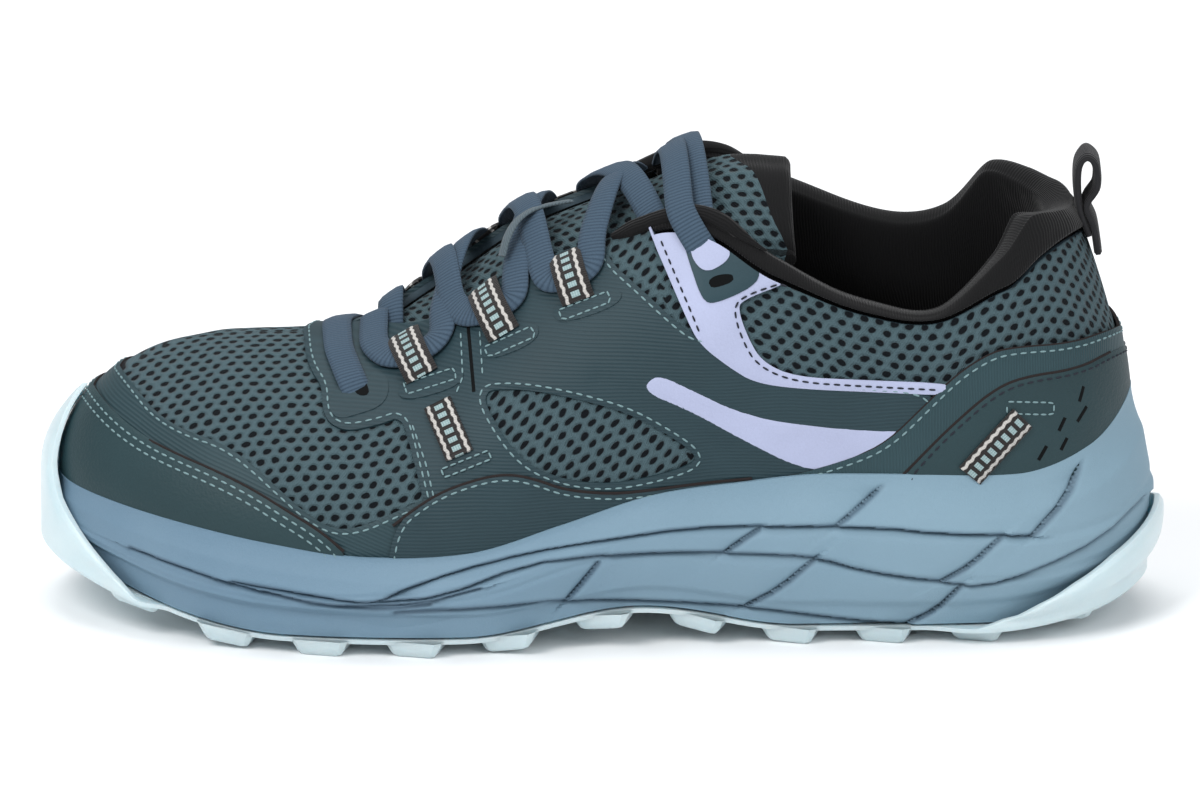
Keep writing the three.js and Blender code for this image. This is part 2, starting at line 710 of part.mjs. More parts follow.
// Overlays: a thin shell around the skin, cut by outlines drawn from the side.
// Each outline point: along, share of shoeLength from the toe; high, share of instepHeight.
const OUTLINES = {
  toe_cap: [
    [-0.1, 0.0], [0.275, 0.0], [0.275, 0.225], [0.245, 0.27], [0.205, 0.325], [0.165, 0.37],
    [0.115, 0.42], [0.085, 0.47], [0.075, 0.535], [0.09, 0.59], [0.12, 0.7], [-0.1, 0.7],
  ],
  toe_strip: [
    [0.283, 0.2], [0.283, 0.24], [0.25, 0.287], [0.21, 0.342], [0.17, 0.385], [0.122, 0.435],
    [0.093, 0.48], [0.083, 0.535], [0.1, 0.6], [0.128, 0.7], [0.155, 0.7], [0.12, 0.58],
    [0.118, 0.53], [0.15, 0.475], [0.205, 0.425], [0.245, 0.385], [0.275, 0.32], [0.31, 0.265], [0.31, 0.2],
  ],
  eyestay: [
    [0.232, 0.75], [0.24, 0.56], [0.268, 0.49], [0.335, 0.505], [0.35, 0.38], [0.33, 0.3],
    [0.318, 0.28], [0.318, 0.2], [0.714, 0.2], [0.714, 0.42], [0.765, 0.465], [0.79, 0.53], [0.66, 0.56],
    [0.6, 0.72], [0.645, 0.89], [0.58, 1.1], [0.44, 1.1],
  ],
  counter: [
    [0.72, 0.2], [0.72, 0.41], [0.79, 0.475], [0.84, 0.57], [0.89, 0.6], [1.1, 0.61], [1.1, 0.2],
  ],
};
// Windows of bare mesh in the eyestay overlay.
const WINDOWS = {
  eyestay: [
    [[0.385, 0.45], [0.41, 0.36], [0.475, 0.33], [0.545, 0.37], [0.5, 0.44], [0.43, 0.49]],
    [[0.5, 0.79], [0.53, 0.84], [0.545, 0.75], [0.54, 0.7]],
  ],
};

function prism(outline) {
  const shape = new THREE.Shape(outline.map(([along, high]) => (
    new THREE.Vector2(lengthAt(along), high * instepHeight)
  )));
  const depth = 2 * ballWidth;
  const loose = new THREE.ExtrudeGeometry(shape, { depth, bevelEnabled: false });
  loose.deleteAttribute('normal');
  loose.deleteAttribute('uv');
  loose.translate(0, 0, -depth / 2);
  loose.rotateX(Math.PI / 2);
  return toManifold(mergeVertices(loose, 1e-3));
}

function overlayShell() {
  const levels = steps(7);
  const faces = new Faces();
  const aboveRim = clearance + 0.25;
  const rows = ribs.map((r) => {
    const low = ribAt(r, rimHeight(r) + aboveRim);
    const border = collarBorder(r);
    const most = border < 1 ? border - 0.012 : 0.985;
    const crest = place(r).row <= vampEnd;
    const high = crest ? 1 : most;
    const at = (s, d) => offset(r, mix(low, high, s), d);
    return {
      outer: levels.map((s) => at(s, overlayGap + overlayThickness)),
      inner: levels.map((s) => at(s, overlayGap)),
      open: !crest,
    };
  });
  const n = levels.length - 1;
  rows.forEach((a, i) => {
    const b = rows[(i + 1) % rows.length];
    for (let j = 0; j < n; j += 1) {
      faces.quad(a.outer[j], b.outer[j], b.outer[j + 1], a.outer[j + 1]);
      faces.quad(a.inner[j], a.inner[j + 1], b.inner[j + 1], b.inner[j]);
    }
    faces.quad(a.inner[0], b.inner[0], b.outer[0], a.outer[0]);
    if (a.open || b.open) faces.quad(a.outer[n], b.outer[n], b.inner[n], a.inner[n]);
  });
  return toManifold(outwardFacing(faces.solid()));
}

function overlay(shell, name) {
  let solid = shell.intersect(prism(OUTLINES[name]));
  for (const window of WINDOWS[name] ?? []) solid = solid.subtract(prism(window));
  return fromManifold(solid);
}

// Lacing levels, from the toe end of the throat to its top: rows of the section table.
const LEVELS = [5.7, 6.15, 6.9, 7.65, 8.7];
const ringAt = (row, side) => (side < 0 ? row : ringRows - row);

// Webbing loop: a strap on the eyestay that ends where the lace turns.
function loop(row, side) {
  const r = ringAt(row, side);
  const base = overlayGap + overlayThickness + 2 * clearance;
  const reach = [0.8, 0.87, 0.93, 0.965];
  const way = skin(ringAt(row + 0.1, side), 1).sub(skin(ringAt(row - 0.1, side), 1)).normalize();
  const rings = reach.map((s) => {
    const n = normal(r, s);
    const low = offset(r, s, base);
    const high = low.clone().addScaledVector(n, loopThickness);
    const half = way.clone().multiplyScalar(loopWidth / 2);
    return [low.clone().sub(half), low.clone().add(half), high.clone().add(half), high.clone().sub(half)];
  });
  return outwardFacing(loft(rings));
}

// A flat band along a list of points, with the given way up at each.
function band(points, width, thickness, ups) {
  const rings = points.map((p, i) => {
    const before = points[Math.max(i - 1, 0)];
    const after = points[Math.min(i + 1, points.length - 1)];
    const along = after.clone().sub(before).normalize();
    const up = ups[i].clone().addScaledVector(along, -ups[i].dot(along)).normalize();
    const side = along.clone().cross(up).multiplyScalar(width / 2);
    const lift = up.multiplyScalar(thickness / 2);
    return [
      p.clone().sub(side).sub(lift),
      p.clone().add(side).sub(lift),
      p.clone().add(side).add(lift),
      p.clone().sub(side).add(lift),
    ];
  });
  return outwardFacing(loft(rings));
}

// A lace bar from one side's level to the other's, over the tongue.
const laceCrown = 0.17;
const lowerBar = 1.2;
const upperBar = 2.4;
const barSteps = 6;
function laceBar(fromRow, fromSide, toRow, toSide, lift) {
  const a = ringAt(fromRow, fromSide);
  const b = ringAt(toRow, toSide);
  const rise = laceThickness / 2 + overlayGap + overlayThickness + 2.5 * clearance;
  const start = offset(a, 1, rise);
  const end = offset(b, 1, rise);
  const width = start.distanceTo(end);
  const points = [];
  const ups = [];
  for (const f of steps(barSteps)) {
    const p = start.clone().lerp(end, f);
    p.z += Math.sin(Math.PI * f) * (laceCrown * width + lift);
    points.push(p);
    ups.push(normal(a, 1).lerp(normal(b, 1), f).normalize());
  }
  return band(points, laceWidth, laceThickness, ups);
}

function lace() {
  let solid = null;
  const join = (piece) => {
    const next = toManifold(piece);
    solid = solid ? solid.add(next) : next;
  };
  for (let i = 0; i < LEVELS.length - 1; i += 1) {
    join(laceBar(LEVELS[i], -1, LEVELS[i + 1], 1, lowerBar));
    join(laceBar(LEVELS[i], 1, LEVELS[i + 1], -1, upperBar));
  }
  return fromManifold(solid);
}

// Pull tab: a loop of webbing, both of its legs on the heel's outer face.
function pullTab() {
  const near = clearance + tabThickness / 2;
  const far = near + tabThickness + clearance;
  const start = offset(last, 0.86, near);
  const seat = offset(last, 0.94, near);
  const outerSeat = offset(last, 0.92, far);
  const foot = offset(last, 0.76, far);
  const bulge = (share, high) => new THREE.Vector3(share * tabHeight, 0, high * tabHeight);
  const shape = [
    start,
    seat,
    seat.clone().add(bulge(-0.03, 0.45)),
    seat.clone().add(bulge(0.02, 0.82)),
    seat.clone().add(bulge(0.2, 1)),
    seat.clone().add(bulge(0.4, 0.84)),
    seat.clone().add(bulge(0.46, 0.4)),
    outerSeat,
    foot,
  ];
  const curve = new THREE.CatmullRomCurve3(shape);
  const points = curve.getPoints(16);
  const acrossShoe = new THREE.Vector3(0, 1, 0);
  const ups = points.map((p, i) => {
    const before = points[Math.max(i - 1, 0)];
    const after = points[Math.min(i + 1, points.length - 1)];
    return after.clone().sub(before).cross(acrossShoe).normalize();
  });
  return band(points, tabWidth, tabThickness, ups);
}

const shoe = new THREE.Group();
function add(name, geometry, color, roughness) {
  const material = new THREE.MeshStandardMaterial({ color, roughness, metalness: 0 });
  const mesh = new THREE.Mesh(geometry, material);
  mesh.name = name;
  shoe.add(mesh);
}

add('outsole', outsole(), 0xb9dce6, 0.35);
add('midsole', midsole(), 0x7b9ab4, 0.7);
add('insole', insole(), 0x16181b, 0.9);
add('upper', outwardFacing(upper()), 0x4a6470, 0.85);
add('collar', collar(), 0x121315, 0.9);
add('tongue', tongue(), 0x4b6673, 0.85);
const shell = overlayShell();
add('toe_cap', overlay(shell, 'toe_cap'), 0x2e4a50, 0.5);
add('toe_strip', overlay(shell, 'toe_strip'), 0x34525a, 0.5);
add('eyestay', overlay(shell, 'eyestay'), 0x2f4b53, 0.5);
add('counter', overlay(shell, 'counter'), 0x2f4b51, 0.5);
for (const [index, row] of LEVELS.slice(1, 4).entries()) {
  add(`loop_outer_${index + 1}`, loop(row, -1), 0x17181a, 0.8);
  add(`loop_inner_${index + 1}`, loop(row, 1), 0x17181a, 0.8);
}
add('lace', lace(), 0x4b6072, 0.85);
add('pull_tab', pullTab(), 0x1a1b1e, 0.8);

export default shoe;
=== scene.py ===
# The looks of a low trail running shoe for the left foot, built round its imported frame.
# Lengths are in millimetres until a mesh is made. +X runs to the heel, -Y to the outer side.
import math

import bpy
import numpy as np
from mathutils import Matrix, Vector


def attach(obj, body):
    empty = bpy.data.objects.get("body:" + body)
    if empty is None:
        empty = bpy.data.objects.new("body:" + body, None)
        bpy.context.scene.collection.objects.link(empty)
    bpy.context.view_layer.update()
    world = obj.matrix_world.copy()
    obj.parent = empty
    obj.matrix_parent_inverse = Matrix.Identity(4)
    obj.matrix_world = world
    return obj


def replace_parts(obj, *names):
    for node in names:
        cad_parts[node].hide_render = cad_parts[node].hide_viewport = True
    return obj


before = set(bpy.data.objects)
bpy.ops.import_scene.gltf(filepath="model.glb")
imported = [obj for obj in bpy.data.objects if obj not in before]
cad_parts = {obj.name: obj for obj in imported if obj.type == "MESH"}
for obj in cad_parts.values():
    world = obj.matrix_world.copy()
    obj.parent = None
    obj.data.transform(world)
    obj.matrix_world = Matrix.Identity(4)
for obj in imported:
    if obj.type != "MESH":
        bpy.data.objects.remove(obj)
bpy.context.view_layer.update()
MM = 0.001

# Sizes of the frame's forms
SHOE_LENGTH = 274
BALL_WIDTH = 91
HEEL_WIDTH = 63
HEEL_STACK = 32
INSTEP_HEIGHT = 107
COLLAR_HEIGHT = 108
TOE_BOX_HEIGHT = 67
THROAT_WIDTH = 40
WALL = 1.8
CLEARANCE = 0.3
LUG_HEIGHT = 3.4
SHEET = 1.2
TOE_SPRING = 15
ARCH_RISE = 5.8
HEEL_BEVEL = 8
CUP_LIP = 1.8
SOLE_BULGE = 7
BUMPER = 2.6
BUMPER_HEIGHT = 56
INSOLE = 4
OVERLAY_GAP = 0.7
OVERLAY = 1.1
PADDING = 8
TONGUE = 4
TONGUE_ABOVE = 22
TAB_HEIGHT = 13

# Sections of the foot's edge from toe to heel: along, outer, inner, floor, rim, heel, bulge.
FOOT = np.array([
    (0.020, -0.088, 0.088, 0.94, 1.06, 0, 0.33),
    (0.031, 0.088, 0.236, 0.93, 1.06, 0, 0.35),
    (0.069, 0.236, 0.363, 0.89, 1.03, 0, 0.45),
    (0.131, 0.374, 0.451, 0.81, 0.97, 0, 0.6),
    (0.208, 0.462, 0.495, 0.74, 0.88, 0, 0.7),
    (0.296, 0.505, 0.489, 0.7, 0.8, 0, 0.7),
    (0.380, 0.500, 0.440, 0.71, 0.83, 0, 0.7),
    (0.464, 0.498, 0.396, 0.76, 1.03, 0.25, 0.7),
    (0.544, 0.487, 0.370, 0.83, 1.23, 0.5, 0.72),
    (0.624, 0.493, 0.386, 0.9, 1.31, 0.75, 0.78),
    (0.704, 0.532, 0.452, 0.95, 1.37, 1, 0.88),
    (0.788, 0.524, 0.484, 0.98, 1.36, 1, 0.95),
    (0.869, 0.484, 0.468, 0.99, 1.34, 1, 1),
    (0.934, 0.325, 0.317, 0.99, 1.5, 1, 1),
    (0.968, 0, 0, 0.99, 1.78, 1, 1),
])
# The top line, a row for each section: along, top, tilt, gap, lean.
TOP = np.array([
    (0.131, 0.985, 0, 0, 0),
    (0.140, 0.99, 0, 0, 0),
    (0.164, 1.0, 0, 0, 0),
    (0.193, 1.01, 0, 0, 0),
    (0.232, 1.015, 0, 0, 0),
    (0.277, 1.035, 0, 0, 4),
    (0.347, 1.13, 0.025, 0.33, 24),
    (0.427, 0.84, 0.02, 0.4, 32),
    (0.507, 0.925, 0.018, 0.45, 38),
    (0.588, 0.998, 0.02, 0.55, 55),
    (0.657, 0.926, 0.028, 0.7, 74),
    (0.759, 0.846, 0.032, 0.76, 84),
    (0.857, 0.985, 0.006, 0.62, 80),
    (0.908, 1.005, 0, 0.33, 74),
    (0.920, 0.995, 0, 0, 70),
])
LAST = len(FOOT) - 1
RING = 2 * LAST
VAMP_END = 5
TOP_CROWN = 6.5
HEEL_CROWN = 0.5


def length_at(share):
    return (share - 0.5) * SHOE_LENGTH


def mix(a, b, f):
    return a + (b - a) * f


def unit(v):
    return v / np.maximum(np.linalg.norm(v, axis=-1, keepdims=True), 1e-9)


def walked(points):
    """How far along a line each of its points lies."""
    steps = np.linalg.norm(np.diff(points, axis=0), axis=1)
    return np.cumsum(np.concatenate([[0], steps]))


def between_marks(marks, far, values):
    """Rows of values at marks along a line."""
    return np.stack([np.interp(marks, far, column) for column in np.asarray(values).T], -1)


def smoothstep(x, low, high):
    f = np.clip((x - low) / (high - low), 0, 1)
    return f * f * (3 - 2 * f)


HEEL_ROW = FOOT[:, 5]
ROW_WIDTH = mix(BALL_WIDTH, HEEL_WIDTH, HEEL_ROW)
ROW_HEIGHT = mix(INSTEP_HEIGHT, COLLAR_HEIGHT, HEEL_ROW)
ROW_HEIGHT[: VAMP_END + 2] = TOE_BOX_HEIGHT
FOOT_X = length_at(FOOT[:, 0])
FOOT_MIDDLE = ROW_WIDTH * (FOOT[:, 2] - FOOT[:, 1]) / 2
FOOT_HALF = ROW_WIDTH * (FOOT[:, 2] + FOOT[:, 1]) / 2
FLOOR_ROW = FOOT[:, 3] * HEEL_STACK
RIM_ROW = FOOT[:, 4] * HEEL_STACK
BULGE_ROW = FOOT[:, 6] * SOLE_BULGE
TOP_X = length_at(TOP[:, 0])
TOP_Z = TOP[:, 1] * ROW_HEIGHT
TOP_TILT = TOP[:, 2] * ROW_HEIGHT
TOP_GAP = TOP[:, 3] * THROAT_WIDTH
TOP_LEAN = np.radians(TOP[:, 4])


def through(values, t, start=1, end=1):
    """A smooth curve through a column, mirrored (1) or turned over (-1) at its ends."""
    v = np.asarray(values, float)
    t = np.asarray(t, float)
    n = len(v) - 1
    wide = np.concatenate([[start * v[1]], v, [end * v[n - 1]]])
    before = wide[1:-1] - wide[:-2]
    after = wide[2:] - wide[1:-1]
    mean = (before + after) / 2
    most = 3 * np.minimum(np.abs(before), np.abs(after))
    slope = np.where(before * after <= 0, 0, np.sign(mean) * np.minimum(np.abs(mean), most))
    i = np.clip(np.floor(t).astype(int), 0, n - 1)
    f = t - i
    f2 = f * f
    f3 = f2 * f
    ends = v[i] * (2 * f3 - 3 * f2 + 1) + v[i + 1] * (3 * f2 - 2 * f3)
    return ends + slope[i] * (f3 - 2 * f2 + f) + slope[i + 1] * (f3 - f2)


def row_side(r):
    """Row and side of a place on the ring: 0 toe, LAST heel, then back along the inner side."""
    t = np.mod(r, RING)
    return np.where(t <= LAST, t, RING - t), np.where(t <= LAST, -1.0, 1.0)


def foot_point(r):
    row, side = row_side(r)
    y = through(FOOT_MIDDLE, row) + side * through(FOOT_HALF, row, -1, -1)
    return np.stack([through(FOOT_X, row), y], -1)


def outward(r):
    way = foot_point(r + 0.05) - foot_point(r - 0.05)
    return unit(np.stack([way[..., 1], -way[..., 0]], -1))


def row_at(x):
    return np.interp(x, FOOT_X, np.arange(LAST + 1))


def floor_at(x):
    return through(FLOOR_ROW, row_at(x))


def lug_foot(x):
    """Height of the lugs' feet: flat at the ball and the heel, sprung and arched between."""
    a = np.asarray(x, float) / SHOE_LENGTH
    toe = TOE_SPRING * np.clip((-0.285 - a) / 0.215, 0, None) ** 1.7
    heel = HEEL_BEVEL * np.clip((a - 0.345) / 0.155, 0, None) ** 1.7
    f = np.clip((a + 0.125) / 0.305, 0, 1)
    return toe + heel + ARCH_RISE * np.sin(math.pi * f) ** 2


def sole_under(x):
    return lug_foot(x) + LUG_HEIGHT + SHEET + 2 * CLEARANCE


def top_point(r):
    row, side = row_side(r)
    crown = mix(TOP_CROWN, HEEL_CROWN, through(HEEL_ROW, row))
    front = mix(FOOT_MIDDLE[0], TOP_CROWN, row / VAMP_END)
    y = np.where(row < VAMP_END, front, crown) + side * through(TOP_GAP, row, 1, -1)
    z = through(TOP_Z, row) + side * through(TOP_TILT, row)
    return np.stack([through(TOP_X, row), y, z], -1)


def crest_slope(row):
    a = np.minimum(row + 0.3, LAST)
    b = np.maximum(row - 0.3, 0)
    rise = through(TOP_Z, a) - through(TOP_Z, b)
    run = np.maximum(through(TOP_X, a) - through(TOP_X, b), 1e-3)
    return rise / run * (1 - through(HEEL_ROW, row))


def skin(r, s):
    """A point of the upper's outer face: s runs up the rib from the foot's edge to the top."""
    r, s = np.broadcast_arrays(np.asarray(r, float), np.asarray(s, float))
    row, _ = row_side(r)
    foot = foot_point(r)
    out = outward(r)
    top = top_point(r)
    foot3 = np.concatenate([foot, (floor_at(foot[..., 0]) + CLEARANCE)[..., None]], -1)
    lean = through(TOP_LEAN, row)
    reach = 0.42 * np.linalg.norm(top - foot3, axis=-1)
    flat = np.cos(lean) * reach
    side = out * (0.045 * BALL_WIDTH)
    low = foot3 + np.stack([side[..., 0], side[..., 1], 0.36 * (top - foot3)[..., 2]], -1)
    drop = -np.sin(lean) * reach + crest_slope(row) * out[..., 0] * flat
    high = top + np.stack([out[..., 0] * flat, out[..., 1] * flat, drop], -1)
    f = s[..., None]
    g = 1 - f
    return g**3 * foot3 + 3 * g * g * f * low + 3 * g * f * f * high + f**3 * top


def normal(r, s):
    r, s = np.broadcast_arrays(np.asarray(r, float), np.asarray(s, float))
    row, _ = row_side(r)
    up = np.minimum(s + 0.01, 1)
    down = np.maximum(s - 0.01, 0)
    n = unit(np.cross(skin(r + 0.03, s) - skin(r - 0.03, s), skin(r, up) - skin(r, down)))
    slope = crest_slope(row)
    crest = unit(np.stack([-slope, 0 * slope, 1 + 0 * slope], -1))
    return np.where(((s > 0.995) & (row <= VAMP_END))[..., None], crest, n)


def offset(r, s, d):
    return skin(r, s) + normal(r, s) * np.asarray(d, float)[..., None]


def rib_at(r, z):
    """The rib parameter at which the skin reaches a height."""
    low = np.zeros_like(r)
    high = np.ones_like(r)
    for _ in range(20):
        middle = (low + high) / 2
        below = skin(r, middle)[..., 2] < z
        low = np.where(below, middle, low)
        high = np.where(below, high, middle)
    return (low + high) / 2


# The camera stands level with the photograph's, square to the outer side.
CAMERA_ELEVATION = math.radians(16)
CAMERA_DISTANCE = 4000
CAMERA_TARGET = np.array([0, -50, 66.5])
PIXELS_PER_MM = 4.1
PHOTO_WIDTH = 1200
PHOTO_CENTRE = np.array([600, 400])
SENSOR_WIDTH = 36
BACK = np.array([0, -math.cos(CAMERA_ELEVATION), math.sin(CAMERA_ELEVATION)])
UP = np.array([0, math.sin(CAMERA_ELEVATION), math.cos(CAMERA_ELEVATION)])


def to_photo(p):
    """Where a point lands in the 1200 x 800 photograph."""
    d = p - CAMERA_TARGET
    scale = PIXELS_PER_MM * CAMERA_DISTANCE / (CAMERA_DISTANCE - d @ BACK)
    return PHOTO_CENTRE + np.stack([scale * d[..., 0], -scale * (d @ UP)], -1)


def link(name, data):
    thing = bpy.data.objects.new(name, data)
    bpy.context.scene.collection.objects.link(thing)
    return thing


def make_camera():
    data = bpy.data.cameras.new("camera")
    data.sensor_width = SENSOR_WIDTH
    data.lens = PIXELS_PER_MM * CAMERA_DISTANCE * SENSOR_WIDTH / PHOTO_WIDTH
    data.clip_end = 20
    camera = link("camera", data)
    camera.location = Vector(CAMERA_TARGET + BACK * CAMERA_DISTANCE) * MM
    camera.rotation_euler = (math.pi / 2 - CAMERA_ELEVATION, 0, 0)
    bpy.context.scene.camera = camera


# Meshes
def build(name, points, faces, materials, slot, uv=None, face_material=None, sharp=None, values=None):
    data = bpy.data.meshes.new(name)
    data.from_pydata((np.reshape(points, (-1, 3)) * MM).tolist(), [], faces)
    for material in materials:
        data.materials.append(material)
    data.polygons.foreach_set("use_smooth", [True] * len(faces))
    if face_material is not None:
        data.polygons.foreach_set("material_index", face_material)
    if uv is not None:
        corner = np.zeros(len(data.loops), int)
        data.loops.foreach_get("vertex_index", corner)
        layer = data.uv_layers.new(name="flat")
        layer.data.foreach_set("uv", np.reshape(uv, (-1, 2)).astype(np.float32)[corner].ravel())
    for key, column in (values or {}).items():
        layer = data.attributes.new(key, "FLOAT", "POINT")
        layer.data.foreach_set("value", np.asarray(column, np.float32).ravel())
    if sharp is not None:
        data.set_sharp_from_angle(angle=math.radians(sharp))
    data.update()
    piece = link(name, data)
    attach(piece, "root")
    return piece


def grid_faces(n, m, closed_n=False, closed_m=False):
    """Quads of an n by m grid of vertices, turned so that they face out of a ring."""
    i = np.arange(n if closed_n else n - 1)
    j = np.arange(m if closed_m else m - 1)
    i, j = np.meshgrid(i, j, indexing="ij")
    a = i * m + j
    b = (i + 1) % n * m + j
    c = (i + 1) % n * m + (j + 1) % m
    d = i * m + (j + 1) % m
    return np.stack([a, b, c, d], -1).reshape(-1, 4).tolist()


def tube_faces(rings, sides, turned=False):
    """A tube of rings with closed ends."""
    faces = grid_faces(rings, sides, closed_m=True)
    if turned:
        faces = [face[::-1] for face in faces]
    last = (rings - 1) * sides
    return faces + [list(range(sides)), list(range(last, last + sides))[::-1]]


def wrapped(around, centre):
    """Points of a padded tube by its length, with flat coordinates along and round it."""
    points = around.transpose(1, 0, 2)
    n, m = points.shape[:2]
    steps = np.linalg.norm(np.diff(points, axis=1), axis=2)
    girth = np.cumsum(np.concatenate([np.zeros((n, 1)), steps], 1), axis=1)
    return points, np.stack([np.repeat(walked(centre)[:, None], m, 1), girth], -1)


class Parts:
    """Collects small meshes into one."""

    def __init__(self):
        self.points = []
        self.faces = []
        self.uv = []
        self.count = 0

    def add(self, points, faces, uv=None):
        points = np.asarray(points).reshape(-1, 3)
        self.points.append(points)
        self.faces.extend([[k + self.count for k in f] for f in faces])
        self.uv.append(np.zeros((len(points), 2)) if uv is None else np.asarray(uv).reshape(-1, 2))
        self.count += len(points)

    def build(self, name, material, slot, **more):
        points = np.concatenate(self.points)
        return build(name, points, self.faces, [material], slot, uv=np.concatenate(self.uv), **more)


# Materials
class Shade:
    """Builds one material. Sockets are wrapped so that they take + - * and /."""

    def __init__(self, name, roughness=0.6, sheen=0.0, coat=0.0, specular=0.5):
        self.material = bpy.data.materials.new(name)
        self.material.use_nodes = True
        self.tree = self.material.node_tree
        self.shader = self.tree.nodes["Principled BSDF"]
        for key, value in (
            ("Roughness", roughness), ("Sheen Weight", sheen), ("Sheen Roughness", 0.4),
            ("Coat Weight", coat), ("Coat Roughness", 0.35), ("Specular IOR Level", specular),
        ):
            self.shader.inputs[key].default_value = value

    def put(self, socket, value):
        if isinstance(value, Wire):
            self.tree.links.new(value.socket, socket)
        else:
            socket.default_value = value

    def node(self, kind, settings=None, output=0, **inputs):
        node = self.tree.nodes.new(kind)
        for key, value in (settings or {}).items():
            setattr(node, key, value)
        for key, value in inputs.items():
            self.put(node.inputs[key.replace("_", " ")], value)
        return Wire(self, node.outputs[output])

    def math(self, operation, *values):
        node = self.tree.nodes.new("ShaderNodeMath")
        node.operation = operation
        for socket, value in zip(node.inputs, values):
            self.put(socket, value)
        return Wire(self, node.outputs[0])

    def split(self, vector):
        node = self.tree.nodes.new("ShaderNodeSeparateXYZ")
        self.put(node.inputs[0], vector)
        return [Wire(self, output) for output in node.outputs]

    def place(self):
        """Object coordinates in millimetres, as one wire and as x, y and z."""
        spot = self.node("ShaderNodeTexCoord", output="Object")
        scaled = self.node("ShaderNodeVectorMath", {"operation": "SCALE"}, Vector=spot, Scale=1 / MM)
        return scaled, self.split(scaled)

    def flat(self):
        """The piece's own flat coordinates in millimetres."""
        return self.split(self.node("ShaderNodeUVMap", {"uv_map": "flat"}))[:2]

    def noise(self, where, scale, detail=2.0, rough=0.5):
        return self.node("ShaderNodeTexNoise", Vector=where, Scale=scale, Detail=detail, Roughness=rough)

    def join(self, x, y):
        return self.node("ShaderNodeCombineXYZ", X=x, Y=y)

    def ramp(self, value, low, high):
        node = self.tree.nodes.new("ShaderNodeMapRange")
        node.interpolation_type = "SMOOTHSTEP"
        self.put(node.inputs["Value"], value)
        node.inputs["From Min"].default_value = low
        node.inputs["From Max"].default_value = high
        return Wire(self, node.outputs[0])

    def blend(self, a, b, share):
        node = self.tree.nodes.new("ShaderNodeMix")
        node.data_type = "RGBA"
        self.put(node.inputs[0], share)
        self.put(node.inputs[6], a)
        self.put(node.inputs[7], b)
        return Wire(self, node.outputs[2])

    def finish(self, color, height=None, depth=0.3, roughness=None):
        """Colour, bump height (depth in millimetres for a height of 1) and roughness."""
        self.put(self.shader.inputs["Base Color"], color)
        if height is not None:
            bump = self.node("ShaderNodeBump", Height=height, Distance=depth * MM, Strength=1.0)
            self.put(self.shader.inputs["Normal"], bump)
        if roughness is not None:
            self.put(self.shader.inputs["Roughness"], roughness)
        return self.material


class Wire:
    def __init__(self, shade, socket):
        self.shade = shade
        self.socket = socket

    def __add__(self, other):
        return self.shade.math("ADD", self, other)

    def __sub__(self, other):
        return self.shade.math("SUBTRACT", self, other)

    def __rsub__(self, other):
        return self.shade.math("SUBTRACT", other, self)

    def __mul__(self, other):
        return self.shade.math("MULTIPLY", self, other)

    def __truediv__(self, other):
        return self.shade.math("DIVIDE", self, other)

    __radd__ = __add__
    __rmul__ = __mul__


def rgb(text, gain=1.0):
    """A colour from its hexadecimal name, made linear."""
    values = [int(text[i : i + 2], 16) / 255 for i in (0, 2, 4)]
    linear = [v / 12.92 if v <= 0.04045 else ((v + 0.055) / 1.055) ** 2.4 for v in values]
    return (*[v * gain for v in linear], 1.0)


HOLE_PITCH = 3.7
HOLE_ROW = 2.6


def lit(color, gain):
    return (*[c * gain for c in color[:3]], 1.0)


def knit_mesh(name):
    """Sandwich mesh: staggered oval holes between raised yarns."""
    yarn = rgb("52686f", 0.5)
    shadow = rgb("0b1218", 0.6)
    m = Shade(name, roughness=0.9, sheen=0.05, specular=0.15)
    u, v = m.flat()
    where = m.join(u, v)
    wander = m.noise(where, 0.25, 1.0)
    u = u + (wander - 0.5) * 1.2
    v = v + (m.noise(where, 0.31, 1.0) - 0.5) * 0.9
    line = v / HOLE_ROW
    odd = m.math("MODULO", m.math("FLOOR", line), 2.0)
    fu = m.math("FRACT", u / HOLE_PITCH + odd * 0.5) - 0.5
    fv = m.math("FRACT", line) - 0.5
    slant = fv + fu * 0.18
    reach = m.math("SQRT", fu * fu / 0.085 + slant * slant / 0.11)
    size = reach + (m.noise(where, 0.9, 1.0) - 0.5) * 0.35
    hole = 1.0 - m.ramp(size, 0.72, 1.08)
    thread = m.noise(m.join(u * 2.2, v * 3.6), 1.0, 2.0, 0.7)
    strand = m.math("SINE", (u + v * 0.7) * 9.0) * 0.5 + 0.5
    cloth = m.blend(yarn, lit(yarn, 1.9), thread * 0.75 + strand * 0.15)
    color = m.blend(cloth, shadow, hole)
    ridge = m.ramp(size, 0.9, 1.7)
    height = ridge * 0.55 + thread * 0.3 + strand * 0.12 - hole * 0.8
    return m.finish(color, height, 0.75)


def ribbed_skin(name, base, period=0.85, way=(0.0, 0.0, 1.0)):
    """Coated synthetic with fine parallel ribs and a soft grain."""
    m = Shade(name, coat=0.03, specular=0.25)
    spot, axes = m.place()
    along = axes[0] * way[0] + axes[1] * way[1] + axes[2] * way[2]
    bend = m.noise(spot, 0.03, 1.0)
    wave = m.math("SINE", (along + bend * 3.0) * (2 * math.pi / period))
    grain = m.noise(spot, 3.0, 3.0, 0.6)
    patch = m.noise(spot, 0.05, 2.0)
    tone = wave * 0.10 + grain * 0.25 + patch * 0.35
    color = m.blend(lit(base, 0.72), lit(base, 1.5), tone)
    return m.finish(color, wave * 0.5 + grain * 0.35, 0.1, 0.5 + grain * 0.12)


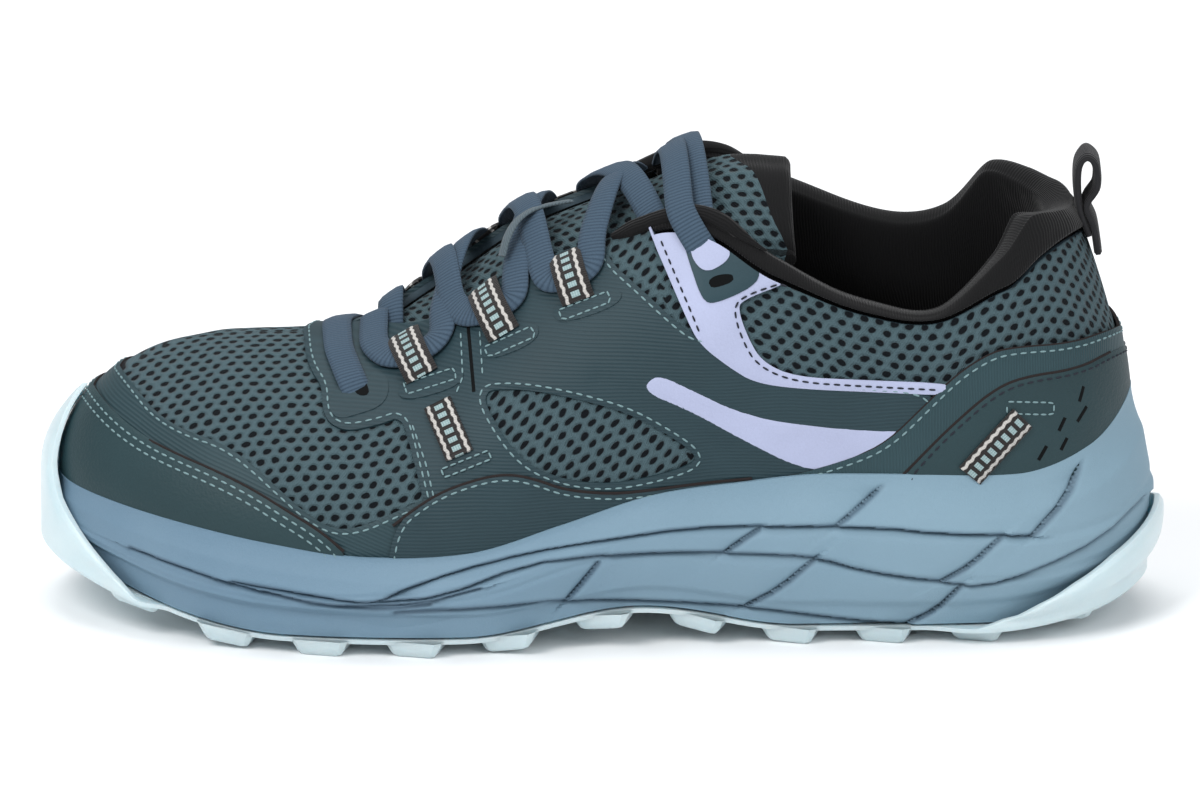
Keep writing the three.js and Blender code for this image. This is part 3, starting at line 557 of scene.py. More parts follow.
def pebbled_skin(name, base, strength=0.16, roughness=0.46):
    """Smooth coated synthetic with a pebbled grain."""
    m = Shade(name, coat=0.02, specular=0.25)
    spot, _ = m.place()
    cells = m.node("ShaderNodeTexVoronoi", {"feature": "SMOOTH_F1"}, Vector=spot, Scale=1.4)
    fine = m.noise(spot, 2.4, 3.0, 0.6)
    patch = m.noise(spot, 0.04, 2.0)
    tone = patch * 0.6 + fine * 0.25
    color = m.blend(lit(base, 0.75), lit(base, 1.4), tone)
    return m.finish(color, cells * 0.6 + fine * 0.5, strength, roughness + fine * 0.15)


def cloth(name, base, period, strength=0.2, across=0.0):
    """Plain knit with fine ribs along the piece's own coordinates."""
    m = Shade(name, roughness=0.9, sheen=0.12, specular=0.25)
    u, v = m.flat()
    where = m.join(u, v)
    wander = m.noise(where, 0.12, 1.0)
    wave = m.math("SINE", (u + v * across + wander * 2.0) * (2 * math.pi / period)) * 0.5 + 0.5
    fuzz = m.noise(where, 3.5, 3.0, 0.7)
    color = m.blend(base, lit(base, 1.7), wave * 0.45 + fuzz * 0.5)
    return m.finish(color, wave * 0.6 + fuzz * 0.4, strength)


def plain(name, base, roughness=0.7, strength=0.05, gain=1.25):
    m = Shade(name, roughness=roughness, specular=0.2)
    spot, _ = m.place()
    grain = m.noise(spot, 4.0, 3.0, 0.6)
    color = m.blend(base, lit(base, gain), grain)
    return m.finish(color, grain, strength)


def foam(name):
    """Moulded foam: fine grained, paler towards the heel, with painted shade dark in its grooves."""
    m = Shade(name, roughness=0.62, specular=0.35)
    spot, axes = m.place()
    groove = m.node("ShaderNodeAttribute", {"attribute_name": "groove"}, output="Fac")
    pale = m.ramp(axes[0], -120, 130)
    base = m.blend(rgb("6f93ad", 0.6), rgb("8badc0", 0.66), pale)
    fine = m.noise(spot, 2.2, 4.0, 0.65)
    patch = m.noise(spot, 0.035, 2.0)
    tone = m.blend(base, rgb("a9c3d2", 0.62), fine * 0.16 + patch * 0.22)
    # Painted shade: the colour darkens towards deep blue along the grooves' mask.
    color = m.blend(tone, rgb("22344a", 0.8), m.math("MINIMUM", groove, 1.0) * 0.6)
    return m.finish(color, fine, 0.1)


def rubber(name):
    """Pale translucent rubber."""
    m = Shade(name, roughness=0.32, specular=0.5, coat=0.1)
    spot, _ = m.place()
    cloud = m.noise(spot, 0.06, 2.0)
    fine = m.noise(spot, 1.6, 3.0)
    m.shader.inputs["Subsurface Weight"].default_value = 0.25
    m.shader.inputs["Subsurface Radius"].default_value = (0.004, 0.006, 0.007)
    m.shader.inputs["Subsurface Scale"].default_value = 1.0
    color = m.blend(rgb("c3dde5", 0.78), rgb("e3f1f4", 0.8), cloud * 0.8 + fine * 0.2)
    return m.finish(color, fine, 0.05, 0.28 + fine * 0.12)


def lace_weave(name):
    m = Shade(name, roughness=0.85, sheen=0.06, specular=0.2)
    u, v = m.flat()
    rib = m.math("ABSOLUTE", m.math("SINE", v * (math.pi / 0.95)))
    strand = m.math("SINE", u * 7.0) * 0.5 + 0.5
    fuzz = m.noise(m.join(u, v), 3.0, 3.0, 0.7)
    color = m.blend(rgb("35495c", 0.5), rgb("5d7489", 0.6), rib * 0.45 + fuzz * 0.45)
    return m.finish(color, rib * 0.6 + strand * 0.15 + fuzz * 0.25, 0.22)


def webbing(name, width):
    """Black webbing with two white wavy lines and a ladder of pale dashes between them."""
    m = Shade(name, roughness=0.85, sheen=0.1)
    u, v = m.flat()
    wave = m.math("SINE", v * (2 * math.pi / 2.2)) * 0.3
    side = m.math("ABSOLUTE", u)
    line = 1.0 - m.ramp(m.math("ABSOLUTE", side - 0.33 * width + wave * 0.5), 0.3, 0.55)
    inside = 1.0 - m.ramp(side, 0.13 * width, 0.16 * width)
    dash = m.ramp(m.math("FRACT", v / 2.4), 0.34, 0.42) * (1.0 - m.ramp(m.math("FRACT", v / 2.4), 0.9, 0.98))
    split = m.math("ABSOLUTE", m.math("SINE", u * 5.0))
    thread = m.noise(m.join(u * 2.0, v * 2.0), 1.4, 3.0, 0.7)
    weave = m.math("ABSOLUTE", m.math("SINE", v * 5.2))
    black = m.blend(rgb("121112", 0.6), rgb("3b3330", 0.6), thread * 0.4 + weave * 0.15)
    white = m.blend(rgb("b9b4ae", 0.6), rgb("f4f1ec", 0.7), thread)
    aqua = m.blend(rgb("7fa7ad", 0.6), rgb("cfe6e6", 0.6), split * 0.5 + thread * 0.4)
    color = m.blend(m.blend(black, aqua, inside * dash), white, line)
    height = weave * 0.4 + thread * 0.4 + line * 0.5 + inside * dash * 0.4
    return m.finish(color, height, 0.3)


# The skin as a dense grid: one half ring of places from toe to heel, for both sides.
LEVELS = 96
SPACING = 0.85
LINING_STEP = 4
PATH_STEP = 3
HEEL_TURN = 10


def even_rows(spacing):
    """Rows from toe to heel, evenly spaced along the foot's edge."""
    fine = np.linspace(0, LAST, 1400)
    far = walked(foot_point(fine))
    return np.interp(np.linspace(0, far[-1], int(far[-1] / spacing)), far, fine)


def whole_ring(rows):
    return np.concatenate([rows, RING - rows[-2:0:-1]])


ROWS = even_rows(SPACING)
SHARES = np.linspace(0, 1, LEVELS)
RING_ROWS = whole_ring(ROWS)
HALF = len(ROWS)


def both_sides(values):
    """A field on the outer half ring, mirrored on to the inner half."""
    return np.concatenate([values, values[-2:0:-1]])


COLLAR_START = 8.5
# At every half row from the collar's start to the heel, as shares of the side: how far below the foot
# form's edge the mesh ends, and how far the padded rim dips on the outer and inner sides.
COLLAR_BAND = [0.03, 0.05, 0.057, 0.065, 0.072, 0.088, 0.18, 0.2, 0.145, 0.115, 0.11, 0.11]
OUTER_DIP = [0, 0, 0, 0.015, 0.045, 0.07, 0.155, 0.12, 0.04, 0.05, 0.055, 0.055]
INNER_DIP = [0, 0, 0, 0.015, 0.03, 0.055, 0.095, 0.02, 0.04, 0.055, 0.055, 0.055]


def half_rows(shares, row):
    return through(shares, np.maximum(0, row - COLLAR_START) * 2)


def collar_border(r):
    row, _ = row_side(r)
    return np.where(row < COLLAR_START, 1, 1 - half_rows(COLLAR_BAND, row))


def collar_top(r):
    row, _ = row_side(r)
    return 1 - np.where(r < LAST, half_rows(OUTER_DIP, row), half_rows(INNER_DIP, row))


def upper_border(r):
    border = collar_border(r)
    return np.where(border < 1, border - 0.016, 1)


# Lines and outlines are traced on the photograph's outer side, in its pixels, and mirrored.
def rounded(points, times=2, closed=True):
    """Cuts an outline's corners until they are soft."""
    p = np.asarray(points, float)
    for _ in range(times):
        q = np.roll(p, -1, 0) if closed else p[1:]
        a = p if closed else p[:-1]
        cut = np.stack([a * 0.75 + q * 0.25, a * 0.25 + q * 0.75], 1).reshape(-1, 2)
        p = cut if closed else np.concatenate([p[:1], cut, p[-1:]])
    return p


def nearest(points, spots, closed=False):
    """Distance in pixels from each spot to a line of points, and the side of it: 1 on its right."""
    a = np.asarray(points, float)
    b = np.roll(a, -1, 0) if closed else a[1:]
    best = np.full(spots.shape[:-1], 1e9)
    side = np.ones(spots.shape[:-1])
    for p, q in zip(a, b):
        way = q - p
        from_start = spots - p
        f = np.clip((from_start @ way) / max(way @ way, 1e-9), 0, 1)
        away = np.linalg.norm(from_start - f[..., None] * way, axis=-1)
        turn = np.sign(way[0] * from_start[..., 1] - way[1] * from_start[..., 0])
        side = np.where(away < best, turn, side)
        best = np.minimum(best, away)
    return best, side


def inside(points, spots):
    """Which spots lie inside an outline."""
    odd = np.zeros(spots.shape[:-1], bool)
    x, y = spots[..., 0], spots[..., 1]
    for (ax, ay), (bx, by) in zip(points, np.roll(points, -1, 0)):
        if ay == by:
            continue
        crossing = (y < ay) != (y < by)
        odd ^= crossing & (x < (bx - ax) * (y - ay) / (by - ay) + ax)
    return odd


class Skin:
    """The dense grid with its places, normals, flat coordinates and place in the photograph."""

    def __init__(self):
        r = RING_ROWS[:, None]
        s = SHARES[None, :] * upper_border(r)
        self.points = skin(r, s)
        self.normals = normal(r, s)
        self.photo = to_photo(self.points + self.normals)[:HALF]
        self.flat = self.unroll()
        self.relief = both_sides(relief(self.photo))
        self.shape = self.points.shape[:2]

    def unroll(self):
        """Flat coordinates: along the shoe and round its heel, and down from the top line."""
        p = self.points
        gap = np.abs(p[:, -1:, 1] - TOP_CROWN)
        step = np.linalg.norm(np.diff(p[:, :, 1:], axis=1), axis=2)
        down = np.cumsum(step[:, ::-1], axis=1)[:, ::-1]
        down = np.concatenate([down, np.zeros((len(p), 1))], 1) + gap
        along = p[:HALF, :, 0].copy()
        pace = np.linalg.norm(np.diff(p[:HALF, :, :2], axis=0), axis=2)
        turn = np.searchsorted(ROWS, HEEL_TURN)
        along[turn:] = along[turn - 1] + np.cumsum(pace[turn - 1 :], axis=0)
        return np.stack([both_sides(along), down], -1)

    def field(self, outline, windows=()):
        """Signed distance in millimetres to an outline, positive inside, on the whole ring."""
        line = rounded(outline)
        away, _ = nearest(line, self.photo, closed=True)
        value = np.where(inside(line, self.photo), away, -away)
        for window in windows:
            hole = rounded(window)
            gone, _ = nearest(hole, self.photo, closed=True)
            value = np.minimum(value, np.where(inside(hole, self.photo), -gone, gone))
        return both_sides(value / PIXELS_PER_MM)

    def place(self, spots, height, side):
        """Places and normals above the skin, seen at pixels of the photograph or mirrored."""
        spots = np.atleast_2d(np.asarray(spots, float))
        away = np.linalg.norm(self.photo[None] - spots[:, None, None], axis=-1)
        i, j = np.unravel_index(away.reshape(len(spots), -1).argmin(1), self.photo.shape[:2])
        i = np.clip(i, 1, HALF - 2)
        j = np.clip(j, 1, LEVELS - 2)
        along = (self.photo[i + 1, j] - self.photo[i - 1, j]) / 2
        up = (self.photo[i, j + 1] - self.photo[i, j - 1]) / 2
        gap = spots - self.photo[i, j]
        area = along[:, 0] * up[:, 1] - along[:, 1] * up[:, 0]
        a = np.clip((gap[:, 0] * up[:, 1] - gap[:, 1] * up[:, 0]) / area, -1, 1)[:, None]
        b = np.clip((along[:, 0] * gap[:, 1] - along[:, 1] * gap[:, 0]) / area, -1, 1)[:, None]
        turn = 1
        if side > 0:
            i = len(self.points) - i
            turn = -1

        def between(values):
            step = (values[(i + turn) % len(values), j] - values[i - turn, j]) / 2
            rise = (values[i, j + 1] - values[i, j - 1]) / 2
            return values[i, j] + step * a + rise * b

        normals = unit(between(self.normals))
        return between(self.points) + normals * (height + self.relief[i, j])[:, None], normals

    def path(self, line, height, side, closed=False):
        """A line of pixels laid on the skin, in small steps."""
        line = np.asarray(line, float)
        line = np.concatenate([line, line[:1]]) if closed else line
        far = walked(line)
        marks = np.linspace(0, far[-1], max(4, int(far[-1] / PATH_STEP)))
        return self.place(between_marks(marks, far, line), height, side)

    def clip(self, value):
        """The part of the grid where the value is above zero, as faces and blended vertices."""
        n, m = self.shape
        whole = value > 0
        index = {}
        blends = []

        def corner(a):
            if a not in index:
                index[a] = len(blends)
                blends.append((a, a, 0.0))
            return index[a]

        def cut(a, b):
            key = (min(a, b), max(a, b))
            if key not in index:
                index[key] = len(blends)
                low, high = flat_value[key[0]], flat_value[key[1]]
                blends.append((*key, low / (low - high)))
            return index[key]

        flat_value = value.ravel()
        faces = []
        following = np.roll(np.arange(n), -1)
        count = whole.astype(int)
        count = count[:, :-1] + count[:, 1:]
        count = count + count[following]
        for i, j in zip(*np.nonzero(count > 0)):
            k = following[i]
            ring = [i * m + j, k * m + j, k * m + j + 1, i * m + j + 1]
            face = []
            for a, b in zip(ring, ring[1:] + ring[:1]):
                if flat_value[a] > 0:
                    face.append(corner(a))
                if (flat_value[a] > 0) != (flat_value[b] > 0):
                    face.append(cut(a, b))
            if len(face) > 2:
                faces.append(face)
        a, b, w = (np.array(c) for c in zip(*blends))
        return faces, (a.astype(int), b.astype(int), w[:, None])

    def take(self, values, blends):
        a, b, w = blends
        rows = values.reshape(-1, values.shape[-1]) if values.ndim == 3 else values.reshape(-1, 1)
        return rows[a] * (1 - w) + rows[b] * w

    def lines(self, value, height):
        """Lines where the value is zero, as places and normals in order."""
        faces, blends = self.clip(value)
        points = self.take(self.points, blends)
        normals = unit(self.take(self.normals, blends))
        lift = self.take(self.relief, blends) + height
        on_line = blends[2][:, 0] > 0
        found = []
        for loop in border_loops(faces, on_line):
            found.append((points[loop] + normals[loop] * lift[loop], normals[loop]))
        return found


def border_loops(faces, on_line):
    """Chains of the border edges whose ends both lie on the cut line."""
    used = {}
    for face in faces:
        for a, b in zip(face, face[1:] + face[:1]):
            used[(a, b)] = True
    after = {}
    for a, b in used:
        if (b, a) not in used and on_line[a] and on_line[b]:
            after[a] = b
    starts = [a for a in after if a not in set(after.values())]
    loops = []
    seen = set()
    for a in starts + list(after):
        if a in seen:
            continue
        chain = [a]
        seen.add(a)
        while chain[-1] in after and after[chain[-1]] not in seen:
            chain.append(after[chain[-1]])
            seen.add(chain[-1])
        if after.get(chain[-1]) == chain[0]:
            chain.append(chain[0])
        if len(chain) > 3:
            loops.append(chain)
    return loops


# Soft creases: a line in the photograph, height in millimetres and half width in pixels.
CREASES = [
    ([(395, 420), (405, 470), (412, 520)], 0.5, 9),
    ([(330, 400), (350, 440), (372, 500)], -0.5, 12),
    ([(215, 345), (250, 400), (285, 460)], 0.35, 16),
    ([(690, 340), (720, 395), (790, 430)], 0.45, 14),
    ([(860, 330), (930, 350), (1000, 335)], 0.9, 16),
    ([(1040, 290), (1075, 320), (1105, 330)], 0.6, 14),
    ([(600, 380), (660, 405), (720, 450)], -0.4, 10),
]


def relief(photo):
    height = np.zeros(photo.shape[:-1])
    for line, rise, width in CREASES:
        away, _ = nearest(rounded(line, closed=False), photo)
        height += rise * np.exp(-((away / width) ** 2))
    return height


def upper_mesh(surface, material, lining, edge):
    """The knitted wall with the bound edge of its throat, and its lining, which is coarser."""
    n, m = surface.shape
    outer = surface.points + surface.normals * surface.relief[..., None]
    inner = surface.points - surface.normals * WALL
    rims = np.concatenate([inner[:, 0], inner[:, -1]])
    points = np.concatenate([outer.reshape(-1, 3), rims])
    faces = grid_faces(n, m, closed_n=True)
    marks = [0] * len(faces)
    for i in range(n):
        k = (i + 1) % n
        foot, top = n * m, n * m + n
        faces.append([i * m + m - 1, k * m + m - 1, top + k, top + i])
        faces.append([k * m, i * m, foot + i, foot + k])
        marks += [1, 1]
    uv = np.concatenate([surface.flat.reshape(-1, 2), surface.flat[:, 0], surface.flat[:, -1]])
    piece = build("upper_mesh", points, faces, [material, edge], "mesh", uv=uv, face_material=marks)
    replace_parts(piece, "upper")
    levels = np.append(np.arange(0, m - 1, LINING_STEP), m - 1)
    rows = np.arange(0, n, 2)
    coarse = inner[rows][:, levels]
    faces = [face[::-1] for face in grid_faces(len(rows), len(levels), closed_n=True)]
    uv = surface.flat[rows][:, levels]
    build("upper_lining", coarse, faces, [lining], "lining", uv=uv)


# How far in from its cut a panel's edge rounds off
PANEL_ROLL = 1


def panel(surface, name, value, base, thick, materials):
    """A sewn overlay: the skin's grid cut at the outline, with a soft edge and a cut side."""
    faces, blends = surface.clip(value)
    points = surface.take(surface.points, blends)
    normals = unit(surface.take(surface.normals, blends))
    inset = surface.take(value, blends)[:, 0]
    lift = surface.take(surface.relief, blends)[:, 0]
    height = base + thick * (0.66 + 0.34 * smoothstep(inset, 0, PANEL_ROLL))
    top = points + normals * (lift + height)[:, None]
    foot = points + normals * (lift + base - 0.25)[:, None]
    uv = surface.take(surface.flat, blends)
    used = set()
    for face in faces:
        used.update(zip(face, face[1:] + face[:1]))
    count = len(top)
    marks = [0] * len(faces)
    for a, b in list(used):
        if (b, a) not in used:
            faces.append([b, a, a + count, b + count])
            marks.append(1)
    everything = np.concatenate([top, foot])
    return build(
        name, everything, faces, materials, "overlay",
        uv=np.concatenate([uv, uv]), face_material=marks, sharp=50,
    )


def capsule(length, width, height, sides=6):
    """One stitch along X, lying on the plane Z = 0."""
    rings = [(-0.5, 0.35), (-0.36, 0.85), (-0.12, 1.0), (0.12, 1.0), (0.36, 0.85), (0.5, 0.35)]
    angle = np.arange(sides) / sides * 2 * math.pi
    points = []
    for along, scale in rings:
        y = np.cos(angle) * width / 2 * scale
        z = np.sin(angle) * height / 2 * scale
        points.append(np.stack([np.full(sides, along * length), y, z], -1))
    return np.concatenate(points), tube_faces(len(rings), sides, turned=True)


THREAD_WIDTH = 0.5
THREAD_HEIGHT = 0.45


def stitches(parts, lines, length=1.65, gap=0.95):
    """Dashes of thread along lines of places and normals."""
    body, faces = capsule(length, THREAD_WIDTH, THREAD_HEIGHT)
    for points, normals in lines:
        far = walked(points)
        marks = np.arange((length + gap) / 2, far[-1], length + gap)
        starts = between_marks(marks - length / 2, far, points)
        ends = between_marks(marks + length / 2, far, points)
        ups = unit(between_marks(marks, far, normals))
        for a, b, up in zip(starts, ends, ups):
            x = unit(b - a)
            y = unit(np.cross(up, x))
            parts.add((a + b) / 2 + body @ np.stack([x, y, np.cross(x, y)]), faces)


# The lights: name, place and size in metres, power in watts.
LIGHTS = [
    ("key", (-0.7, -1.0, 1.2), 0.7, 17), ("fill", (0.9, -1.0, 0.8), 0.9, 6),
    ("top", (0.0, 0.3, 1.4), 1.2, 12),
]
FLOOR_HALF = 6000


def make_stage():
    points = np.array([(-1, -1, 0), (1, -1, 0), (1, 1, 0), (-1, 1, 0)]) * FLOOR_HALF
    m = Shade("floor", roughness=0.9, specular=0.1)
    spot, _ = m.place()
    grain = m.noise(spot, 0.002, 1.0)
    floor_material = m.finish(m.blend((0.88, 0.89, 0.9, 1), (0.92, 0.92, 0.92, 1), grain))
    data = bpy.data.meshes.new("floor")
    data.from_pydata((points * MM).tolist(), [], [[0, 1, 2, 3]])
    data.materials.append(floor_material)
    link("floor", data)
    world = bpy.data.worlds.new("world")
    world.use_nodes = True
    world.node_tree.nodes["Background"].inputs[0].default_value = (0.95, 0.97, 1.0, 1)
    world.node_tree.nodes["Background"].inputs[1].default_value = 0.55
    bpy.context.scene.world = world
    bpy.context.scene.view_settings.view_transform = "Standard"
    for name, spot, size, power in LIGHTS:
        light = bpy.data.lights.new(name, "AREA")
        light.energy = power
        light.size = size
        lamp = link(name, light)
        lamp.location = spot
        aim = Vector((0, 0, 0.05)) - Vector(spot)
        lamp.rotation_euler = aim.to_track_quat("-Z", "Y").to_euler()


# Overlays, from the photograph's pixels. Toe pieces run past the silhouette to meet their twin.
TOE_CAP = [
    (20, 600), (360, 600), (346, 552), (320, 530), (290, 512), (255, 490), (215, 470), (180, 455),
    (150, 440), (120, 418), (98, 392), (88, 372), (92, 352), (110, 337), (132, 325), (100, 300), (20, 300),
]
FOXING = [
    (60, 600), (60, 300), (120, 300), (134, 322), (112, 340), (116, 362), (132, 382), (155, 412),
    (185, 430), (222, 442), (250, 462), (280, 490), (310, 517), (335, 530), (362, 527), (395, 512),
    (430, 497), (470, 482), (500, 478), (535, 488), (575, 500), (620, 497), (670, 490), (740, 480),
    (760, 600),
]
SADDLE = [
    (303, 300), (304, 345), (310, 368), (322, 385), (322, 405), (328, 422), (350, 430), (382, 423),
    (402, 417), (410, 445), (418, 478), (426, 510), (440, 600), (700, 600), (770, 600), (900, 600),
    (960, 470), (940, 410), (925, 388), (860, 384), (790, 378), (758, 360), (742, 330), (700, 340),
    (672, 318), (640, 288), (606, 258), (600, 225), (620, 150), (303, 150),
]
SADDLE_WINDOW = [
    (478, 391), (510, 388), (545, 392), (590, 402), (630, 414), (670, 436), (698, 456), (690, 466),
    (650, 478), (607, 485), (565, 480), (530, 466), (505, 440),
]
HEEL_STRAP = [
    (740, 600), (728, 484), (790, 476), (850, 459), (888, 442), (925, 406), (958, 374), (991, 353),
    (1013, 348), (1071, 344), (1106, 331), (1180, 300), (1180, 600),
]
COUNTER = [
    (895, 600), (900, 480), (925, 452), (950, 427), (991, 391), (1021, 377), (1076, 369), (1110, 351),
    (1180, 318), (1180, 600),
]
MUDGUARD = [
    (385, 600), (392, 528), (425, 502), (452, 488), (491, 476), (516, 475), (540, 481), (565, 490),
    (611, 494), (650, 490), (700, 483), (755, 478), (790, 600),
]
LAVENDER = [
    (640, 200), (652, 238), (668, 275), (688, 322), (700, 345), (730, 368), (755, 383), (800, 389),
    (870, 392), (960, 396), (960, 384), (860, 380), (795, 377), (762, 362), (748, 338), (738, 310),
    (742, 300), (790, 282), (800, 270), (765, 240), (735, 215), (700, 190),
]
EYELET_PATCH = [
    (700, 224), (684, 243), (690, 264), (702, 300), (713, 305), (754, 287), (762, 270), (742, 250),
    (716, 230),
]
EYELET_LOOP = [(688, 250), (703, 275), (727, 263), (732, 250), (716, 237), (704, 236)]
EYELET_SLOT = [(708, 281), (717, 275), (734, 274), (734, 282), (717, 288), (710, 288)]
LACE_HOLE = [(354, 378), (363, 376), (372, 397), (354, 396)]
LACE_PATCH = [(327, 404), (338, 383), (387, 366), (390, 404), (348, 418), (333, 416)]
TABS = [
    [(553, 301), (555, 327), (622, 305), (621, 286)],
    [(480, 341), (483, 364), (541, 341), (536, 318)],
    [(397, 384), (401, 404), (466, 385), (461, 363)],
]
# Box seams: the middle of each end, half their height in pixels, and millimetres above the skin.
BOX_SEAMS = [
    ((561, 316), (610, 297), 5.5, 1.5), ((487, 353), (534, 332), 5.5, 1.5),
    ((406, 390), (456, 374), 5.5, 1.5), ((443, 474), (490, 455), 4.5, 1.5),
    ((1006, 407), (1052, 408), 6, 2.0),
]
# Open seams, with their height above the skin in millimetres.
SEAMS = [
    ([(461, 332), (463, 378), (457, 392)], 1.2),
    ([(480, 330), (483, 378)], 1.2),
    ([(412, 424), (426, 464), (434, 498)], 1.2),
]
LAVENDER_SEAMS = [
    [(661, 240), (676, 276), (692, 314), (700, 334)],
    [(788, 281), (741, 297), (733, 310), (742, 340), (757, 366), (795, 382), (860, 386), (940, 390)],
]
# Edges where the cut shows dark, with their height above the skin in millimetres.
RAW_EDGES = [
    ([(344, 551), (320, 531), (290, 513), (255, 491), (215, 471), (180, 456), (150, 441)], 1.45),
    ([(393, 526), (425, 502), (452, 488), (491, 476), (516, 475), (540, 481), (565, 490), (611, 494),
      (650, 490), (700, 483), (752, 478)], 1.35),
    ([(852, 459), (888, 442), (925, 406), (958, 374), (991, 353), (1013, 348),
      (1071, 344), (1104, 332)], 1.0),
    ([(903, 474), (925, 452), (950, 427), (991, 391), (1021, 377), (1076, 369), (1108, 352)], 1.5),
]
CHANNEL = [(467, 312), (470, 345), (474, 392)]
DENTS = [
    ((1081, 386), (1077, 401)), ((1084, 406), (1075, 421)), ((1063, 417), (1057, 430)),
    ((1065, 437), (1059, 449)), ((1045, 445), (1037, 459)),
]
BLADE = [
    (640, 392), (655, 372), (690, 388), (740, 412), (800, 424), (870, 430), (912, 430), (880, 458),
    (840, 472), (800, 470), (740, 440), (690, 412),
]


def overlays(surface, skins):
    thread = Parts()
    dark_thread = Parts()

    def add(name, outline, base, thick, look, edge, windows=(), rims=(1.3,), into=thread):
        value = surface.field(outline, windows)
        piece = panel(surface, name, value, base, thick, [look, edge])
        for rim in rims:
            stitches(into, surface.lines(value - rim, base + thick + 0.05))
        return piece

    raw = skins["raw_edge"]
    ribs = skins["ribs"]
    lavender = skins["lavender"]
    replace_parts(add("foxing", FOXING, 0.0, 0.9, skins["toe_ribs"], raw), "toe_strip")
    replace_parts(add("saddle", SADDLE, 0.1, 1.0, ribs, ribs, windows=[SADDLE_WINDOW]), "eyestay")
    add("mudguard", MUDGUARD, 1.1, 0.6, ribs, raw)
    add("lace_patch", LACE_PATCH, 1.1, 0.3, ribs, ribs, rims=())
    for k, tab in enumerate(TABS):
        add(f"loop_tab_{k + 1}", tab, 1.1, 0.35, ribs, ribs, rims=())
    add("blade_panel", BLADE, 0.85, 0.33, lavender, lavender, rims=())
    add("eyelet_strap", LAVENDER, 0.8, 0.65, lavender, lavender, rims=())
    for line in LAVENDER_SEAMS:
        for side in (-1, 1):
            stitches(dark_thread, [surface.path(rounded(line, closed=False), 1.5, side)])
    add("eyelet_patch", EYELET_PATCH, 1.3, 0.5, skins["smooth"], raw, rims=())
    add("eyelet_loop", EYELET_LOOP, 1.8, 0.3, lavender, lavender, rims=())
    # The eyelet's slot and the lace hole are thin dark sheets of painted shade over their openings.
    add("eyelet_slot_shade", EYELET_SLOT, 1.75, 0.1, skins["hollow_shade"], skins["hollow_shade"], rims=())
    add("lace_hole_shade", LACE_HOLE, 1.4, 0.1, skins["hollow_shade"], skins["hollow_shade"], rims=())
    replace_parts(add("toe_cap_skin", TOE_CAP, 0.8, 1.1, skins["pebbled"], raw, rims=(1.8, 3.6)), "toe_cap")
    add("heel_strap", HEEL_STRAP, 0.75, 0.85, skins["strap_ribs"], raw)
    counter = add("counter_skin", COUNTER, 1.1, 0.85, skins["pebbled"], raw, into=dark_thread)
    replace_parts(counter, "counter")
    sewn_details(surface, thread, skins["hollow_shade"], raw)
    thread.build("stitches_light", skins["thread"], "lace")
    dark_thread.build("stitches_dark", skins["dark_thread"], "webbing")


def sewn_details(surface, thread, hollow_shade, raw):
    """Box seams, open seams, the eyestay's channel and the counter's dents as bands of painted shade, and
    the raw edges.
    """
    dark = Parts()
    for side in (-1, 1):
        for start, end, half, height in BOX_SEAMS:
            a, b = np.array(start, float), np.array(end, float)
            way = unit(b - a)
            across = np.array([-way[1], way[0]]) * half
            box = [a - across, b - across, b + across, a + across]
            stitches(thread, [surface.path(box, height, side, closed=True)], length=1.5, gap=0.6)
        for line, height in SEAMS:
            stitches(thread, [surface.path(line, height, side)])
        # The channel and the dents are dark bands of painted shade laid on the skin, not cut into it.
        dark.add(*band(*surface.path(CHANNEL, 1.1, side), 0.9, 0.15))
        for dent in DENTS:
            dark.add(*band(*surface.path(dent, 1.92, side), 1.0, 0.2))
    dark.build("channel_and_dent_shade", hollow_shade, "overlay")
    edges = Parts()
    for line, height in RAW_EDGES:
        for side in (-1, 1):
            edges.add(*band(*surface.path(rounded(line, closed=False), height, side), 0.75, 0.5))
    edges.build("raw_edges", raw, "overlay")


# Sole
LINES = np.array([
    (0.5, 0.4, 0.3), (0.5, 0.4, 0.3), (0.49, 0.4, 0.3), (0.47, 0.39, 0.29), (0.49, 0.39, 0.28),
    (0.58, 0.43, 0.28), (0.66, 0.5, 0.25), (0.74, 0.56, 0.2), (0.71, 0.51, 0.17), (0.68, 0.47, 0.15),
    (0.67, 0.45, 0.14), (0.64, 0.33, 0.13), (0.6, 0.33, 0.15), (0.52, 0.3, 0.16), (0.5, 0.3, 0.17),
])
# How far the rubber climbs over the toe and the heel: rows, and shares of the bumper's height.
CLIMB = [
    (0, 0.97), (0.5, 0.8), (1, 0.54), (1.5, 0.42), (2, 0.31), (2.5, 0.17), (3, 0), (11, 0), (12, 0.14),
    (13, 0.36), (14, 0.5),
]
GROOVE_HALF = 0.58
MIDSOLE_SPACING = 0.7
OUTSOLE_SPACING = 1.5
INSOLE_SPACING = 2.0
# The raised side of a groove's step and its sunken side: depth in millimetres, and reach.
STEP_BACK = (1.15, 3.4)
STEP_FORWARD = (-0.5, 2.8)
# Lugs: pairs along the sole, and the length, width and turn of those at the edge and inside it.
LUG_PAIRS = 11
FIRST_LUG = 0.085
LUG_STEP = 0.084
LUG_INSET = 3.4
EDGE_LUG = (14.5, 13, 0.25)
INNER_LUG = (12, 9, 0.7)
